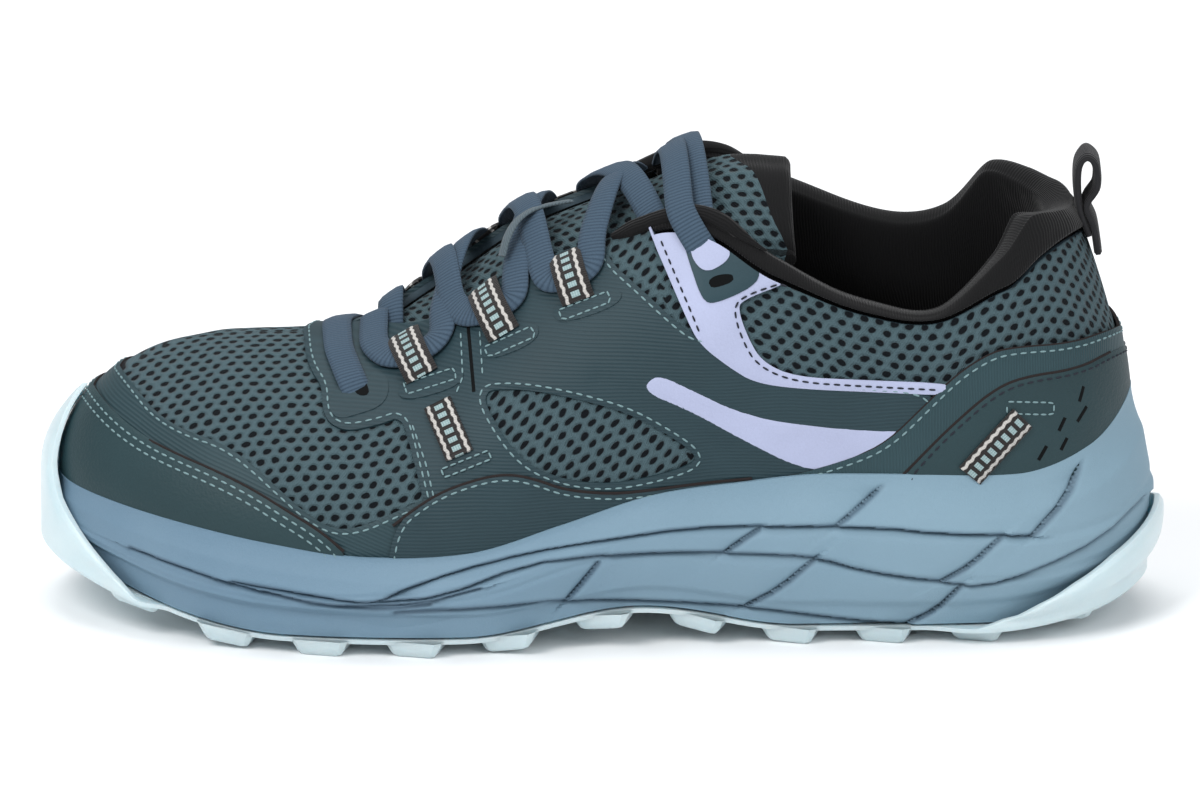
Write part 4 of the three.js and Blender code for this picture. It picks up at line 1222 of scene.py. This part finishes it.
# Moulded grooves, in the photograph's pixels.
GROOVES = [
    [(400, 592), (455, 572), (527, 553), (610, 540), (691, 528), (760, 527), (880, 528),
     (941, 535), (1033, 537)],
    [(380, 603), (440, 598), (527, 565), (600, 557), (665, 553), (726, 553), (818, 558), (859, 571),
     (941, 583), (982, 588), (1038, 571), (1104, 538), (1145, 497)],
    [(395, 615), (480, 610), (568, 600), (660, 601), (747, 607), (830, 618), (905, 625)],
    [(130, 548), (165, 562), (245, 590), (300, 603), (350, 608), (420, 606), (480, 590)],
    [(232, 582), (300, 594), (352, 603), (378, 603), (400, 592)],
    [(262, 592), (320, 606), (390, 612), (430, 606)],
    [(885, 484), (860, 508), (836, 528)],
    [(1082, 462), (1068, 500), (1033, 537)],
    [(760, 530), (726, 553)],
    [(818, 558), (780, 590), (747, 606)],
    [(1002, 539), (970, 568), (941, 583)],
    [(961, 588), (935, 612), (905, 625)],
    [(599, 565), (585, 582), (568, 600)],
]


def sole_frame(r):
    """The foot's edge, its way out, the sole's rim, where the rim meets the skin, the lip, the row."""
    foot = foot_point(r)
    out = outward(r)
    row, _ = row_side(r)
    rim = through(RIM_ROW, row)
    s = rib_at(r, rim)
    wall = offset(r, s, CLEARANCE)
    inner = np.sum((wall[:, :2] - foot) * out, axis=1)
    return foot, out, rim, s, inner + CUP_LIP, row


def side_reach(level, lip, row):
    """How far the sole's side stands out of the foot's edge, per level of its height."""
    upper, middle, lower = (through(LINES[:, k], row) for k in range(3))
    step = 0.035
    levels = np.stack([
        0 * row, lower, lower + step, middle - step, middle, middle + step,
        upper - step, upper, upper + step, 0 * row + 0.93, 0 * row + 1.0,
    ])
    outs = np.array([0.3, 0.5, 0.72, 0.97, 0.9, 1.0, 1.0, 0.84, 0.85, 0.25, 0.0])
    share = np.array([np.interp(level, levels[:, i], outs) for i in range(len(row))])
    taper = np.minimum(0.6, lip)
    base = np.maximum(taper[:, None] + (lip - taper)[:, None] * level[None, :], 0.6)
    bulge = through(BULGE_ROW, row)[:, None] * share
    return base + bulge * np.minimum(1, 4 * (1 - level))[None, :]


def softened(values, times):
    for _ in range(times):
        wide = np.concatenate([values[:, :1], values, values[:, -1:]], 1)
        values = (wide[:, :-2] + 2 * wide[:, 1:-1] + wide[:, 2:]) / 4
    return values


def middle_line(row, height):
    share = (through(FOOT_X, row) - FOOT_X[0]) / (FOOT_X[-1] - FOOT_X[0])
    x = mix(FOOT_X[0] + 26, FOOT_X[-1] - 26, share)
    return np.stack([x, through(FOOT_MIDDLE, row), height(x)], -1)


def towards(edge, centre, share, height):
    p = mix(edge, centre, share)
    p[:, 2] = height(p[:, 0])
    return p


def midsole(material):
    rows = even_rows(MIDSOLE_SPACING)
    r = whole_ring(rows)
    foot, out, rim, s, lip, row = sole_frame(r)
    level = np.linspace(0, 1, 90)
    reach = softened(side_reach(level, lip, row), 3)
    bottom = sole_under(foot[:, 0])
    z = bottom[:, None] + level[None, :] * (rim - bottom)[:, None]
    spot = foot[:, None, :] + out[:, None, :] * reach[..., None]
    side = np.concatenate([spot, z[..., None]], -1)
    photo = to_photo(side[: len(rows)])
    groove = np.zeros(photo.shape[:-1])
    step = np.zeros(photo.shape[:-1])
    for line in GROOVES:
        away, beyond = nearest(rounded(line, 1, closed=False), photo)
        away = away / PIXELS_PER_MM
        groove = np.maximum(groove, np.exp(-((away / GROOVE_HALF) ** 2)))
        back, forward = (depth * np.exp(-away / far) for depth, far in (STEP_BACK, STEP_FORWARD))
        step += np.where(beyond > 0, back, forward)
    below_lip = 1 - smoothstep(level, 0.86, 0.96)[None, :]
    groove = both_sides(groove) * below_lip
    step = both_sides(np.clip(step, -0.6, 1.3)) * below_lip
    side[..., :2] -= out[:, None, :] * (groove * 0.9 + step)[..., None]
    wall = [offset(r, f * s, CLEARANCE) for f in (1.0, 0.7, 0.35)]
    lip_edge = foot + out * (lip[:, None] - 0.5)
    lip_point = np.concatenate([lip_edge, rim[:, None] + 0.15], -1)
    edge = np.concatenate([foot + out * CLEARANCE, floor_at(foot[:, 0])[:, None]], -1)
    bed_middle = middle_line(row, floor_at)
    under_middle = middle_line(row, sole_under)
    under = side[:, 0]
    columns = [
        under_middle, towards(under, under_middle, 0.5, sole_under),
        *[side[:, k] for k in range(len(level))],
        lip_point, *wall, edge, towards(edge, bed_middle, 0.5, floor_at), bed_middle,
    ]
    points = np.stack(columns, 1)
    # The groove mask is also kept on the mesh, for the foam's painted shade along the grooves.
    values = np.zeros(points.shape[:2])
    values[:, 2 : 2 + len(level)] = groove
    faces = grid_faces(*points.shape[:2], closed_n=True)
    piece = build("midsole_foam", points, faces, [material], "foam", sharp=40, values={"groove": values})
    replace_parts(piece, "midsole")


def outsole(material):
    r = whole_ring(even_rows(OUTSOLE_SPACING))
    foot, out, rim, _, lip, row = sole_frame(r)
    bottom = sole_under(foot[:, 0])
    low = bottom - 2 * CLEARANCE
    climb = np.interp(row, *zip(*CLIMB)) * BUMPER_HEIGHT
    top = np.maximum(low, climb)
    wrapped = smoothstep(climb, bottom - 5, low)[:, None]
    level = np.linspace(0, 1, 60)
    reach = side_reach(level, lip, row)
    heights = bottom[:, None] + level[None, :] * (rim - bottom)[:, None]
    shares = np.linspace(0, 1, 14)
    z = low[:, None] + shares[None, :] * (top - low)[:, None]
    skin_out = []
    for k in range(len(shares)):
        at = rib_at(r, np.maximum(z[:, k], rim))
        wall = offset(r, at, OVERLAY_GAP + OVERLAY + 6 * CLEARANCE)
        skin_out.append(np.sum((wall[:, :2] - foot) * out, axis=1))
    skin_out = np.stack(skin_out, 1)
    inner = np.zeros_like(z)
    for i in range(len(r)):
        for k in range(len(shares)):
            near = np.abs(heights[i] - z[i, k]) < 5
            most = reach[i][near].max() if near.any() else 0
            if z[i, k] < rim[i]:
                most = max(most, lip[i])
            inner[i, k] = skin_out[i, k] if z[i, k] > rim[i] + 5 else max(most, skin_out[i, k]) + CLEARANCE
    inner = mix(reach[:, :1] - SHEET, softened(inner, 2), wrapped)
    thick = mix(SHEET, BUMPER, np.minimum(1, (top - low) / 12))[:, None]

    def at(reach, z):
        return np.concatenate([foot + out * reach[:, None], z[:, None]], -1)

    def sheet_top(x):
        return sole_under(x) - 2 * CLEARANCE

    def sheet_foot(x):
        return sheet_top(x) - SHEET

    outer = inner + thick * np.sqrt(np.maximum(1 - (shares[None, :] ** 12) * 0.75, 0))
    corner_in = at(inner[:, 0], sheet_top(foot[:, 0]))
    corner_out = at(inner[:, 0] + thick[:, 0] * 0.6, sheet_foot(foot[:, 0]))
    top_middle = middle_line(row, sheet_top)
    foot_middle = middle_line(row, sheet_foot)
    columns = [
        foot_middle, towards(corner_out, foot_middle, 0.5, sheet_foot), corner_out,
        *[at(outer[:, k], z[:, k]) for k in range(len(shares))],
        *[at(inner[:, k], z[:, k]) for k in range(len(shares) - 1, -1, -1)],
        corner_in, towards(corner_in, top_middle, 0.5, sheet_top), top_middle,
    ]
    points = np.stack(columns, 1)
    parts = Parts()
    parts.add(points, grid_faces(*points.shape[:2], closed_n=True))
    for block in lugs():
        parts.add(*block)
    piece = parts.build("outsole_rubber", material, "tread_rubber", sharp=35)
    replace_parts(piece, "outsole")


def lug(x, y, side, length, width, turn):
    """One lug with softened edges: rings from its root to its smaller foot."""
    turn = turn * side
    root = LUG_HEIGHT + 0.7 * SHEET
    rings = [(1.0, root), (0.9, root * 0.62), (0.78, 0.9), (0.72, 0.3), (0.66, 0.0)]
    corners = np.array([
        (-1, -0.8), (-0.8, -1), (0.8, -1), (1, -0.8), (1, 0.8), (0.8, 1), (-0.8, 1), (-1, 0.8),
    ])
    points = []
    for scale, up in rings:
        dx = corners[:, 0] * scale * length / 2
        dy = corners[:, 1] * scale * width / 2
        px = x + dx * math.cos(turn) - dy * math.sin(turn)
        py = y + dx * math.sin(turn) + dy * math.cos(turn)
        points.append(np.stack([px, py, lug_foot(px) + up], -1))
    count = len(corners)
    faces = grid_faces(len(rings), count, closed_m=True)
    faces.append(list(range((len(rings) - 1) * count, len(rings) * count))[::-1])
    return np.concatenate(points), faces


def lugs():
    blocks = []
    for i in range(LUG_PAIRS):
        x = length_at(FIRST_LUG + i * LUG_STEP)
        row = row_at(x)
        middle = float(through(FOOT_MIDDLE, row))
        half = float(through(FOOT_HALF, row, -1, -1))
        for side in (-1, 1):
            blocks.append(lug(x, middle + side * (half - LUG_INSET), side, *EDGE_LUG))
            if half > 24:
                blocks.append(lug(x + 8, middle + side * half * 0.34, side, *INNER_LUG))
    return blocks


def insole(material):
    r = whole_ring(even_rows(INSOLE_SPACING))
    row, _ = row_side(r)
    foot = foot_point(r) - outward(r) * (WALL + 2 * CLEARANCE)

    def bed(x):
        return floor_at(x) + CLEARANCE

    def face(x):
        return bed(x) + INSOLE

    low = np.concatenate([foot, bed(foot[:, 0])[:, None]], -1)
    high = np.concatenate([foot, face(foot[:, 0])[:, None]], -1)
    top_middle = middle_line(row, face)
    rim = high.copy()
    rim[:, 2] += 0.8
    columns = [
        middle_line(row, bed), low, rim,
        towards(high, top_middle, 0.12, face), towards(high, top_middle, 0.5, face), top_middle,
    ]
    points = np.stack(columns, 1)
    faces = grid_faces(*points.shape[:2], closed_n=True)
    piece = build("sockliner", points, faces, [material], "lining", uv=points[..., :2], sharp=50)
    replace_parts(piece, "insole")


def spline(points, count, closed=False):
    """An even Catmull-Rom curve through points: (k, ..., 3) to (count, ..., 3)."""
    p = np.asarray(points, float)
    n = len(p)
    t = np.linspace(0, n if closed else n - 1, count, endpoint=not closed)
    i = np.floor(t).astype(int)
    if not closed:
        i = np.minimum(i, n - 2)
    f = (t - i).reshape(-1, *[1] * (p.ndim - 1))

    def at(k):
        return p[k % n] if closed else p[np.clip(k, 0, n - 1)]

    a, b, c, d = at(i - 1), at(i), at(i + 1), at(i + 2)
    return 0.5 * (2 * b + (c - a) * f + (2 * a - 5 * b + 4 * c - d) * f**2 + (3 * b - a - 3 * c + d) * f**3)


# The share of the padding left at the collar's front ends
THIN_END = 0.38


def collar(material):
    """Padded collar: over the rim and down inside the heel."""
    half = np.linspace(COLLAR_START, LAST, 150)
    r = np.concatenate([half, RING - half[-2::-1]])
    row, _ = row_side(r)
    border = collar_border(r)
    taper = mix(THIN_END, 1, smoothstep(row, 9, 10.5))
    thick = PADDING * taper
    backed = WALL + 3 * CLEARANCE
    low = border - mix(0.05, 0.3, taper)
    top = collar_top(r)
    rim = normal(r, top)
    centre = skin(r, top) - rim * (thick / 2)[:, None]
    plump = thick * mix(0.1, 0.36, smoothstep(r, LAST - 1.5, LAST + 1.5))
    ring = [offset(r, border, 0.9), offset(r, (border + top) / 2, 0.9)]
    for a in (0, 0.25, 0.5, 0.75, 1):
        rise = np.array([0, 0, 1]) * (math.sin(a * math.pi) * plump)[:, None]
        ring.append(centre + rim * (math.cos(a * math.pi) * thick / 2)[:, None] + rise)
    ring += [
        offset(r, mix(top, low, 0.35), -thick),
        offset(r, mix(top, low, 0.7), -mix(backed + 1, thick, 0.8)),
        offset(r, low, -backed - 0.8),
        offset(r, low, -backed),
        offset(r, mix(low, border, 0.5), -backed),
        offset(r, border, -backed),
    ]
    points, uv = wrapped(spline(ring, 64, closed=True), centre)
    piece = build("collar_knit", points, tube_faces(*points.shape[:2]), [material], "lining", uv=uv)
    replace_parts(piece, "collar")


# The tongue: how far its sides tuck under the throat, the share of its length that lies there,
# the row where it comes free, the way of its end and how far that droops, and the ring of its hem.
TONGUE_UNDER = 0.12
TONGUE_FREE = 0.86
TONGUE_TOP_ROW = 8.9
TONGUE_WAY = np.array([0.95, 0, 0.3])
TONGUE_DROOP = 5
TONGUE_HEM = 67


def tongue(material, padding):
    under_skin = WALL + 3 * CLEARANCE
    under_collar = THIN_END * PADDING + 2 * CLEARANCE
    f = np.linspace(0, 1, 70)
    row = mix(VAMP_END + 0.5, TONGUE_TOP_ROW, np.minimum(1, f / TONGUE_FREE))
    beyond = np.maximum(0, f - TONGUE_FREE) / (1 - TONGUE_FREE)
    below = mix(under_skin, under_collar, smoothstep(row, 7.9, COLLAR_START))
    narrow = 0.34 * smoothstep(f, 0.6, 1)

    def edge(side, s):
        r = row if side < 0 else RING - row
        drop = below if s < 1 else below - 0.4
        p = offset(r, s, -drop) + TONGUE_WAY * (beyond * TONGUE_ABOVE)[:, None]
        p[:, 2] -= TONGUE_DROOP * beyond**2
        p[:, 1] = mix(p[:, 1], TOP_CROWN, narrow)
        return p

    outer_edge = edge(-1, 1)
    inner_edge = edge(1, 1)
    width = np.linalg.norm(outer_edge - inner_edge, axis=1)
    crown = 0.13 * width
    middle = (outer_edge + inner_edge) / 2
    middle[:, 2] += crown

    def quarter(e):
        p = mix(e, middle, 0.5)
        p[:, 2] += 0.25 * crown
        return p

    top = np.stack([
        edge(-1, 1 - 1.3 * TONGUE_UNDER), edge(-1, 1 - 0.6 * TONGUE_UNDER), quarter(outer_edge), middle,
        quarter(inner_edge), edge(1, 1 - 0.6 * TONGUE_UNDER), edge(1, 1 - 1.3 * TONGUE_UNDER),
    ], 0)
    roll = smoothstep(f, 0.84, 0.92)
    thick = mix(TONGUE * 0.6, TONGUE * 1.3, np.maximum(0, f - 0.5) * 2) + 1.6 * roll
    top[..., 2] += 1.2 * roll
    away = (np.arange(7) - 3) / 3
    under = top.copy()
    under[..., 1] -= away[:, None] * 0.5 * thick
    under[..., 2] -= thick
    middle_end = (top[:, -1:] + under[:, -1:]) / 2
    half_end = (top[:, -1:] - under[:, -1:]) / 2
    turn = np.radians([18, 36, 54, 70, 82])[None, :, None]
    ahead = unit(TONGUE_WAY) * np.linalg.norm(half_end, axis=-1, keepdims=True) * np.sin(turn)
    top = np.concatenate([top, middle_end + half_end * np.cos(turn) + ahead], 1)
    under = np.concatenate([under, middle_end - half_end * np.cos(turn) + ahead], 1)
    around = spline(np.concatenate([top, under[::-1]]), 72, closed=True)
    points, uv = slant_hem(*wrapped(around, top[3]))
    n, m = points.shape[:2]
    rows = np.repeat(np.arange(n - 1), m)
    marks = (rows >= TONGUE_HEM).astype(int).tolist() + [1, 1]
    piece = build(
        "tongue_padded", points, tube_faces(n, m), [material, padding], "mesh", uv=uv, face_material=marks,
    )
    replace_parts(piece, "tongue")


def slant_hem(points, uv):
    """Slides the tongue's rings along it, so that the padded end's hem slants to its sides."""
    n, m = points.shape[:2]
    columns = np.arange(m)
    inward = np.minimum(columns, m - columns) / (m / 2)
    slanted = mix(0.95, 0.86, np.minimum(1, 2 * inward))
    share = np.linspace(0, 1, n)[:, None]
    hem = TONGUE_HEM / (n - 1)
    beyond = 1 - (1 - share) * (1 - slanted) / (1 - hem)
    spot = np.where(share < hem, share * slanted / hem, beyond) * (n - 1)
    below = np.clip(spot.astype(int), 0, n - 2)
    part = (spot - below)[..., None]
    points = mix(points[below, columns], points[below + 1, columns], part)
    return points, mix(uv[below, columns], uv[below + 1, columns], part)


def band(points, ups, width, thickness, crown=0.0):
    """A flat strap along places, with its flat coordinates: across it, and along it."""
    points = np.asarray(points)
    way = unit(np.gradient(points, axis=0))
    ups = unit(ups - np.sum(ups * way, axis=1, keepdims=True) * way)
    side = np.cross(way, ups)
    profile = np.array([
        (-1, -0.5), (-0.6, -1), (0, -1), (0.6, -1), (1, -0.5), (1, 0.5), (0.6, 1), (0, 1), (-0.6, 1),
        (-1, 0.5),
    ])
    across = profile[None, :, 0] * np.broadcast_to(width, len(points))[:, None] / 2
    high = profile[None, :, 1] * np.broadcast_to(thickness, len(points))[:, None] / 2
    high = high + crown * (1 - profile[:, 0] ** 2)
    ring = points[:, None, :] + side[:, None, :] * across[..., None] + ups[:, None, :] * high[..., None]
    uv = np.stack([across, np.repeat(walked(points)[:, None], len(profile), 1)], -1)
    return ring, tube_faces(len(points), len(profile), turned=True), uv


# The lacing. A stop is a place on the skin, as a pixel of the photograph, or a row of the throat's
# edge, above it or under it, or a hole. Each has its side of the shoe: -1 is the outer, 1 the inner one.
LACE_WIDTH = 7.2
LACE_THICK = 1.15
LACE_HEIGHT = 2.1
LACE_STEP = 2.2
ROUTES = [
    ([], [
        ("hole", 359, 394, -1), ("skin", 352, 383, -1), ("skin", 339, 352, -1), ("skin", 337, 326, -1),
        ("skin", 337, 326, 1), ("skin", 339, 352, 1), ("skin", 352, 383, 1), ("hole", 359, 394, 1),
    ]),
    ([1.0, 0.6, 2.4, 1.4], [
        ("under", 5.3, 1), ("edge", 5.35, -1), ("skin", 374, 347, -1), ("skin", 390, 361, -1),
        ("skin", 413, 357, -1), ("skin", 435, 348, -1), ("skin", 446, 332, -1), ("edge", 6.2, -1),
        ("edge", 6.58, 1), ("skin", 478, 312, 1), ("skin", 495, 311, 1), ("skin", 516, 300, 1),
        ("edge", 6.95, 1), ("edge", 7.28, -1), ("skin", 549, 284, -1), ("skin", 573, 279, -1),
        ("skin", 593, 268, -1), ("edge", 7.86, -1), ("under", 8.3, 1),
    ]),
    ([1.2, 2.4, 0.8, 1.0], [
        ("under", 5.5, -1), ("edge", 5.6, 1), ("skin", 392, 359, 1), ("skin", 413, 357, 1),
        ("skin", 434, 348, 1), ("edge", 6.1, 1), ("edge", 6.32, -1), ("skin", 469, 318, -1),
        ("skin", 495, 312, -1), ("skin", 517, 300, -1), ("edge", 7.02, -1), ("edge", 7.3, 1),
        ("skin", 549, 284, 1), ("skin", 573, 279, 1), ("skin", 593, 268, 1), ("edge", 7.82, 1),
        ("under", 8.5, -1),
    ]),
    ([2.4], [("hole", 708, 256, -1), ("skin", 698, 243, -1), ("edge", 8.82, -1), ("under", 8.62, 1)]),
    ([1.6], [("under", 9.0, -1), ("edge", 8.8, 1), ("skin", 698, 243, 1), ("hole", 708, 256, 1)]),
]
# Webbing loops: the middle of their upper and lower ends, and their width in millimetres.
LOOPS = [((404, 335), (423, 377), 8.6), ((484, 287), (505, 335), 8.6), ((566, 255), (579, 301), 8.4)]
WEBBING_PATCHES = [((438, 404), (460, 456), 7.2, 1.6), ((1021, 417), (969, 474), 7.0, 2.35)]
KEEPER_WIDTH = 3.0
KEEPER_THICK = 0.8
TAB_WIDTH = 14
TAB_THICK = 2.0
# The grey keeper ribbon, with how far across the shoe each place lies.
KEEPER = [(502, 256, -11), (507, 238, -9), (516, 222, -6), (530, 211, -3), (548, 205, 0), (571, 201, 3)]


def ring_at(row, side):
    return row if side < 0 else RING - row


def from_photo(px, v, y):
    """The place at a pixel of the photograph, given how far across the shoe it lies."""
    scale = PIXELS_PER_MM
    for _ in range(3):
        x = (px - PHOTO_CENTRE[0]) / scale
        up = (PHOTO_CENTRE[1] - v) / scale
        z = CAMERA_TARGET[2] + (up - (y - CAMERA_TARGET[1]) * UP[1]) / UP[2]
        depth = (np.array([x, y, z]) - CAMERA_TARGET) @ BACK
        scale = PIXELS_PER_MM * CAMERA_DISTANCE / (CAMERA_DISTANCE - depth)
    return np.array([x, y, z])


def arch(start, end, start_up, end_up, lift):
    """Places between the throat's two edges, over the tongue."""
    span = np.linalg.norm(end - start)
    f = np.linspace(0, 1, 14)[1:-1, None]
    points = mix(start, end, f)
    points[:, 2] += (np.sin(math.pi * f) * (0.17 * span + lift))[:, 0]
    return points, unit(mix(start_up, end_up, f))


def lace_route(surface, lifts, stops):
    """Even places along a lace and the ways up from them, arched wherever it crosses the tongue."""
    points = []
    ups = []
    rises = iter(lifts)
    before = "skin"
    for kind, *spot, side in stops:
        if kind in ("skin", "hole"):
            height = LACE_HEIGHT if kind == "skin" else 0.2
            point, up = (found[0] for found in surface.place([spot], height, side))
        else:
            r = ring_at(spot[0], side)
            rise = LACE_HEIGHT + 0.4 if kind == "edge" else -0.9
            point, up = offset(r, 1.0, rise), normal(r, 1.0)
        if before in ("edge", "under") and kind in ("edge", "under"):
            between, tilts = arch(points[-1], point, ups[-1], up, next(rises))
            points.extend(between)
            ups.extend(tilts)
        points.append(point)
        ups.append(up)
        before = kind
    points = np.array(points)
    far = walked(points)
    marks = np.linspace(0, far[-1], int(far[-1] / LACE_STEP))
    smooth = []
    for values in (points, ups):
        values = between_marks(marks, far, values)
        for _ in range(2):
            values[1:-1] = (values[:-2] + 2 * values[1:-1] + values[2:]) / 4
        smooth.append(spline(values, len(values) * 3))
    return smooth


def laces(surface, material):
    parts = Parts()
    for lifts, stops in ROUTES:
        parts.add(*band(*lace_route(surface, lifts, stops), LACE_WIDTH, LACE_THICK, crown=0.25))
    piece = parts.build("laces", material, "lace")
    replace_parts(piece, "lace")


def keeper(material):
    points = spline([from_photo(*spot) for spot in KEEPER], 40)
    ups = np.broadcast_to(np.array([-0.5, -0.1, 0.85]), points.shape)
    parts = Parts()
    parts.add(*band(points, ups, KEEPER_WIDTH, KEEPER_THICK))
    parts.build("lace_keeper", material, "webbing")


def domed(surface, ends, side, low, dome):
    """A short strap on the skin, its middle raised over the lace that it holds."""
    share = np.linspace(0, 1, 22)
    line = np.stack([mix(ends[0][k], ends[1][k], share) for k in (0, 1)], -1)
    points, normals = surface.place(line, low, side)
    return points + normals * (dome * np.sin(math.pi * share) ** 0.6)[:, None], normals


def loops(surface, material):
    parts = Parts()
    for top, foot, width in LOOPS:
        for side in (-1, 1):
            parts.add(*band(*domed(surface, (top, foot), side, 1.5, 1.9), width, 1.2))
    for top, foot, width, height in WEBBING_PATCHES:
        for side in (-1, 1):
            parts.add(*band(*domed(surface, (top, foot), side, height, 0.0), width, 1.0))
    piece = parts.build("lace_loops", material, "webbing")
    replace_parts(piece, *[f"loop_{side}_{k}" for side in ("outer", "inner") for k in (1, 2, 3)])


def binding(material):
    """The rolled black edge at the top of the throat, on both sides."""
    parts = Parts()
    rows = np.linspace(8.05, 9.9, 60)
    size = smoothstep(rows, 7.9, 8.3) * (1 - smoothstep(rows, 9.3, 10)) + 0.1
    for side in (-1, 1):
        r = ring_at(rows, side)
        points = offset(r, 1.0, 0.2)
        parts.add(*band(points, normal(r, 1.0), 3.6 * size, 3.4 * size))
    parts.build("throat_binding", material, "lining")


def pull_tab(material):
    near = CLEARANCE + 0.75
    far = near + 1.5 + CLEARANCE
    at = float(LAST)

    def seat(share, d):
        return offset(at, share, d)

    def rise(share, high):
        return seat(0.94, near) + np.array([share * TAB_HEIGHT, 0, high * TAB_HEIGHT])

    shape = [
        seat(0.86, near), seat(0.94, near), rise(-0.05, 0.45), rise(-0.02, 0.82), rise(0.13, 1),
        rise(0.3, 0.84), rise(0.32, 0.4), seat(0.94, far), seat(0.88, far), seat(0.8, far - 1.2),
    ]
    points = spline(shape, 60)
    way = np.gradient(points, axis=0)
    ups = unit(np.cross(way, np.array([0, 1.0, 0])))
    parts = Parts()
    parts.add(*band(points, ups, TAB_WIDTH, TAB_THICK))
    piece = parts.build("heel_pull", material, "webbing")
    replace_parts(piece, "pull_tab")


def main():
    make_camera()
    make_stage()
    surface = Skin()
    lining = cloth("lining_knit", rgb("0e0e10", 0.45), period=0.8)
    skins = {
        "ribs": ribbed_skin("ribbed_teal", rgb("304c55", 0.5)),
        "toe_ribs": ribbed_skin("toe_ribbed_teal", rgb("35525a", 0.5), period=0.9, way=(0.35, 0.0, 0.94)),
        "strap_ribs": ribbed_skin("strap_ribbed_teal", rgb("385860", 0.5), period=0.7, way=(0.94, 0.3, 0.0)),
        "pebbled": pebbled_skin("pebbled_teal", rgb("2f4c52", 0.5)),
        "smooth": pebbled_skin("smooth_teal", rgb("35525c", 0.5), strength=0.05),
        "lavender": pebbled_skin("lavender_film", rgb("b6bddb", 0.72), strength=0.05, roughness=0.5),
        "raw_edge": plain("raw_edge", rgb("241f1f"), roughness=0.9, strength=0.2),
        "thread": plain("thread_pale", rgb("93b3b8", 0.45), roughness=0.7, strength=0.1, gain=1.5),
        # Near black painted shade, laid where holes, slots, the channel and the dents are dark inside.
        "hollow_shade": plain("painted_pit_shade", rgb("05080a", 0.6), roughness=0.95, strength=0.1),
        "dark_thread": plain("thread_dark", rgb("23262e"), roughness=0.8, strength=0.1),
    }
    upper_mesh(surface, knit_mesh("upper_knit"), lining, plain("bound_edge", rgb("2c3a42")))
    overlays(surface, skins)
    midsole(foam("midsole_foam"))
    outsole(rubber("pale_rubber"))
    insole(cloth("sockliner_cloth", rgb("17191c"), period=1.2))
    collar(lining)
    tongue(knit_mesh("tongue_knit"), lining)
    laces(surface, lace_weave("lace_weave"))
    loops(surface, webbing("loop_webbing", 7.7))
    keeper(cloth("keeper_ribbon", rgb("66757d", 0.45), period=1.0, across=1.0))
    binding(lining)
    pull_tab(cloth("pull_webbing", rgb("1a1a1c"), period=1.1, strength=0.3))


main()
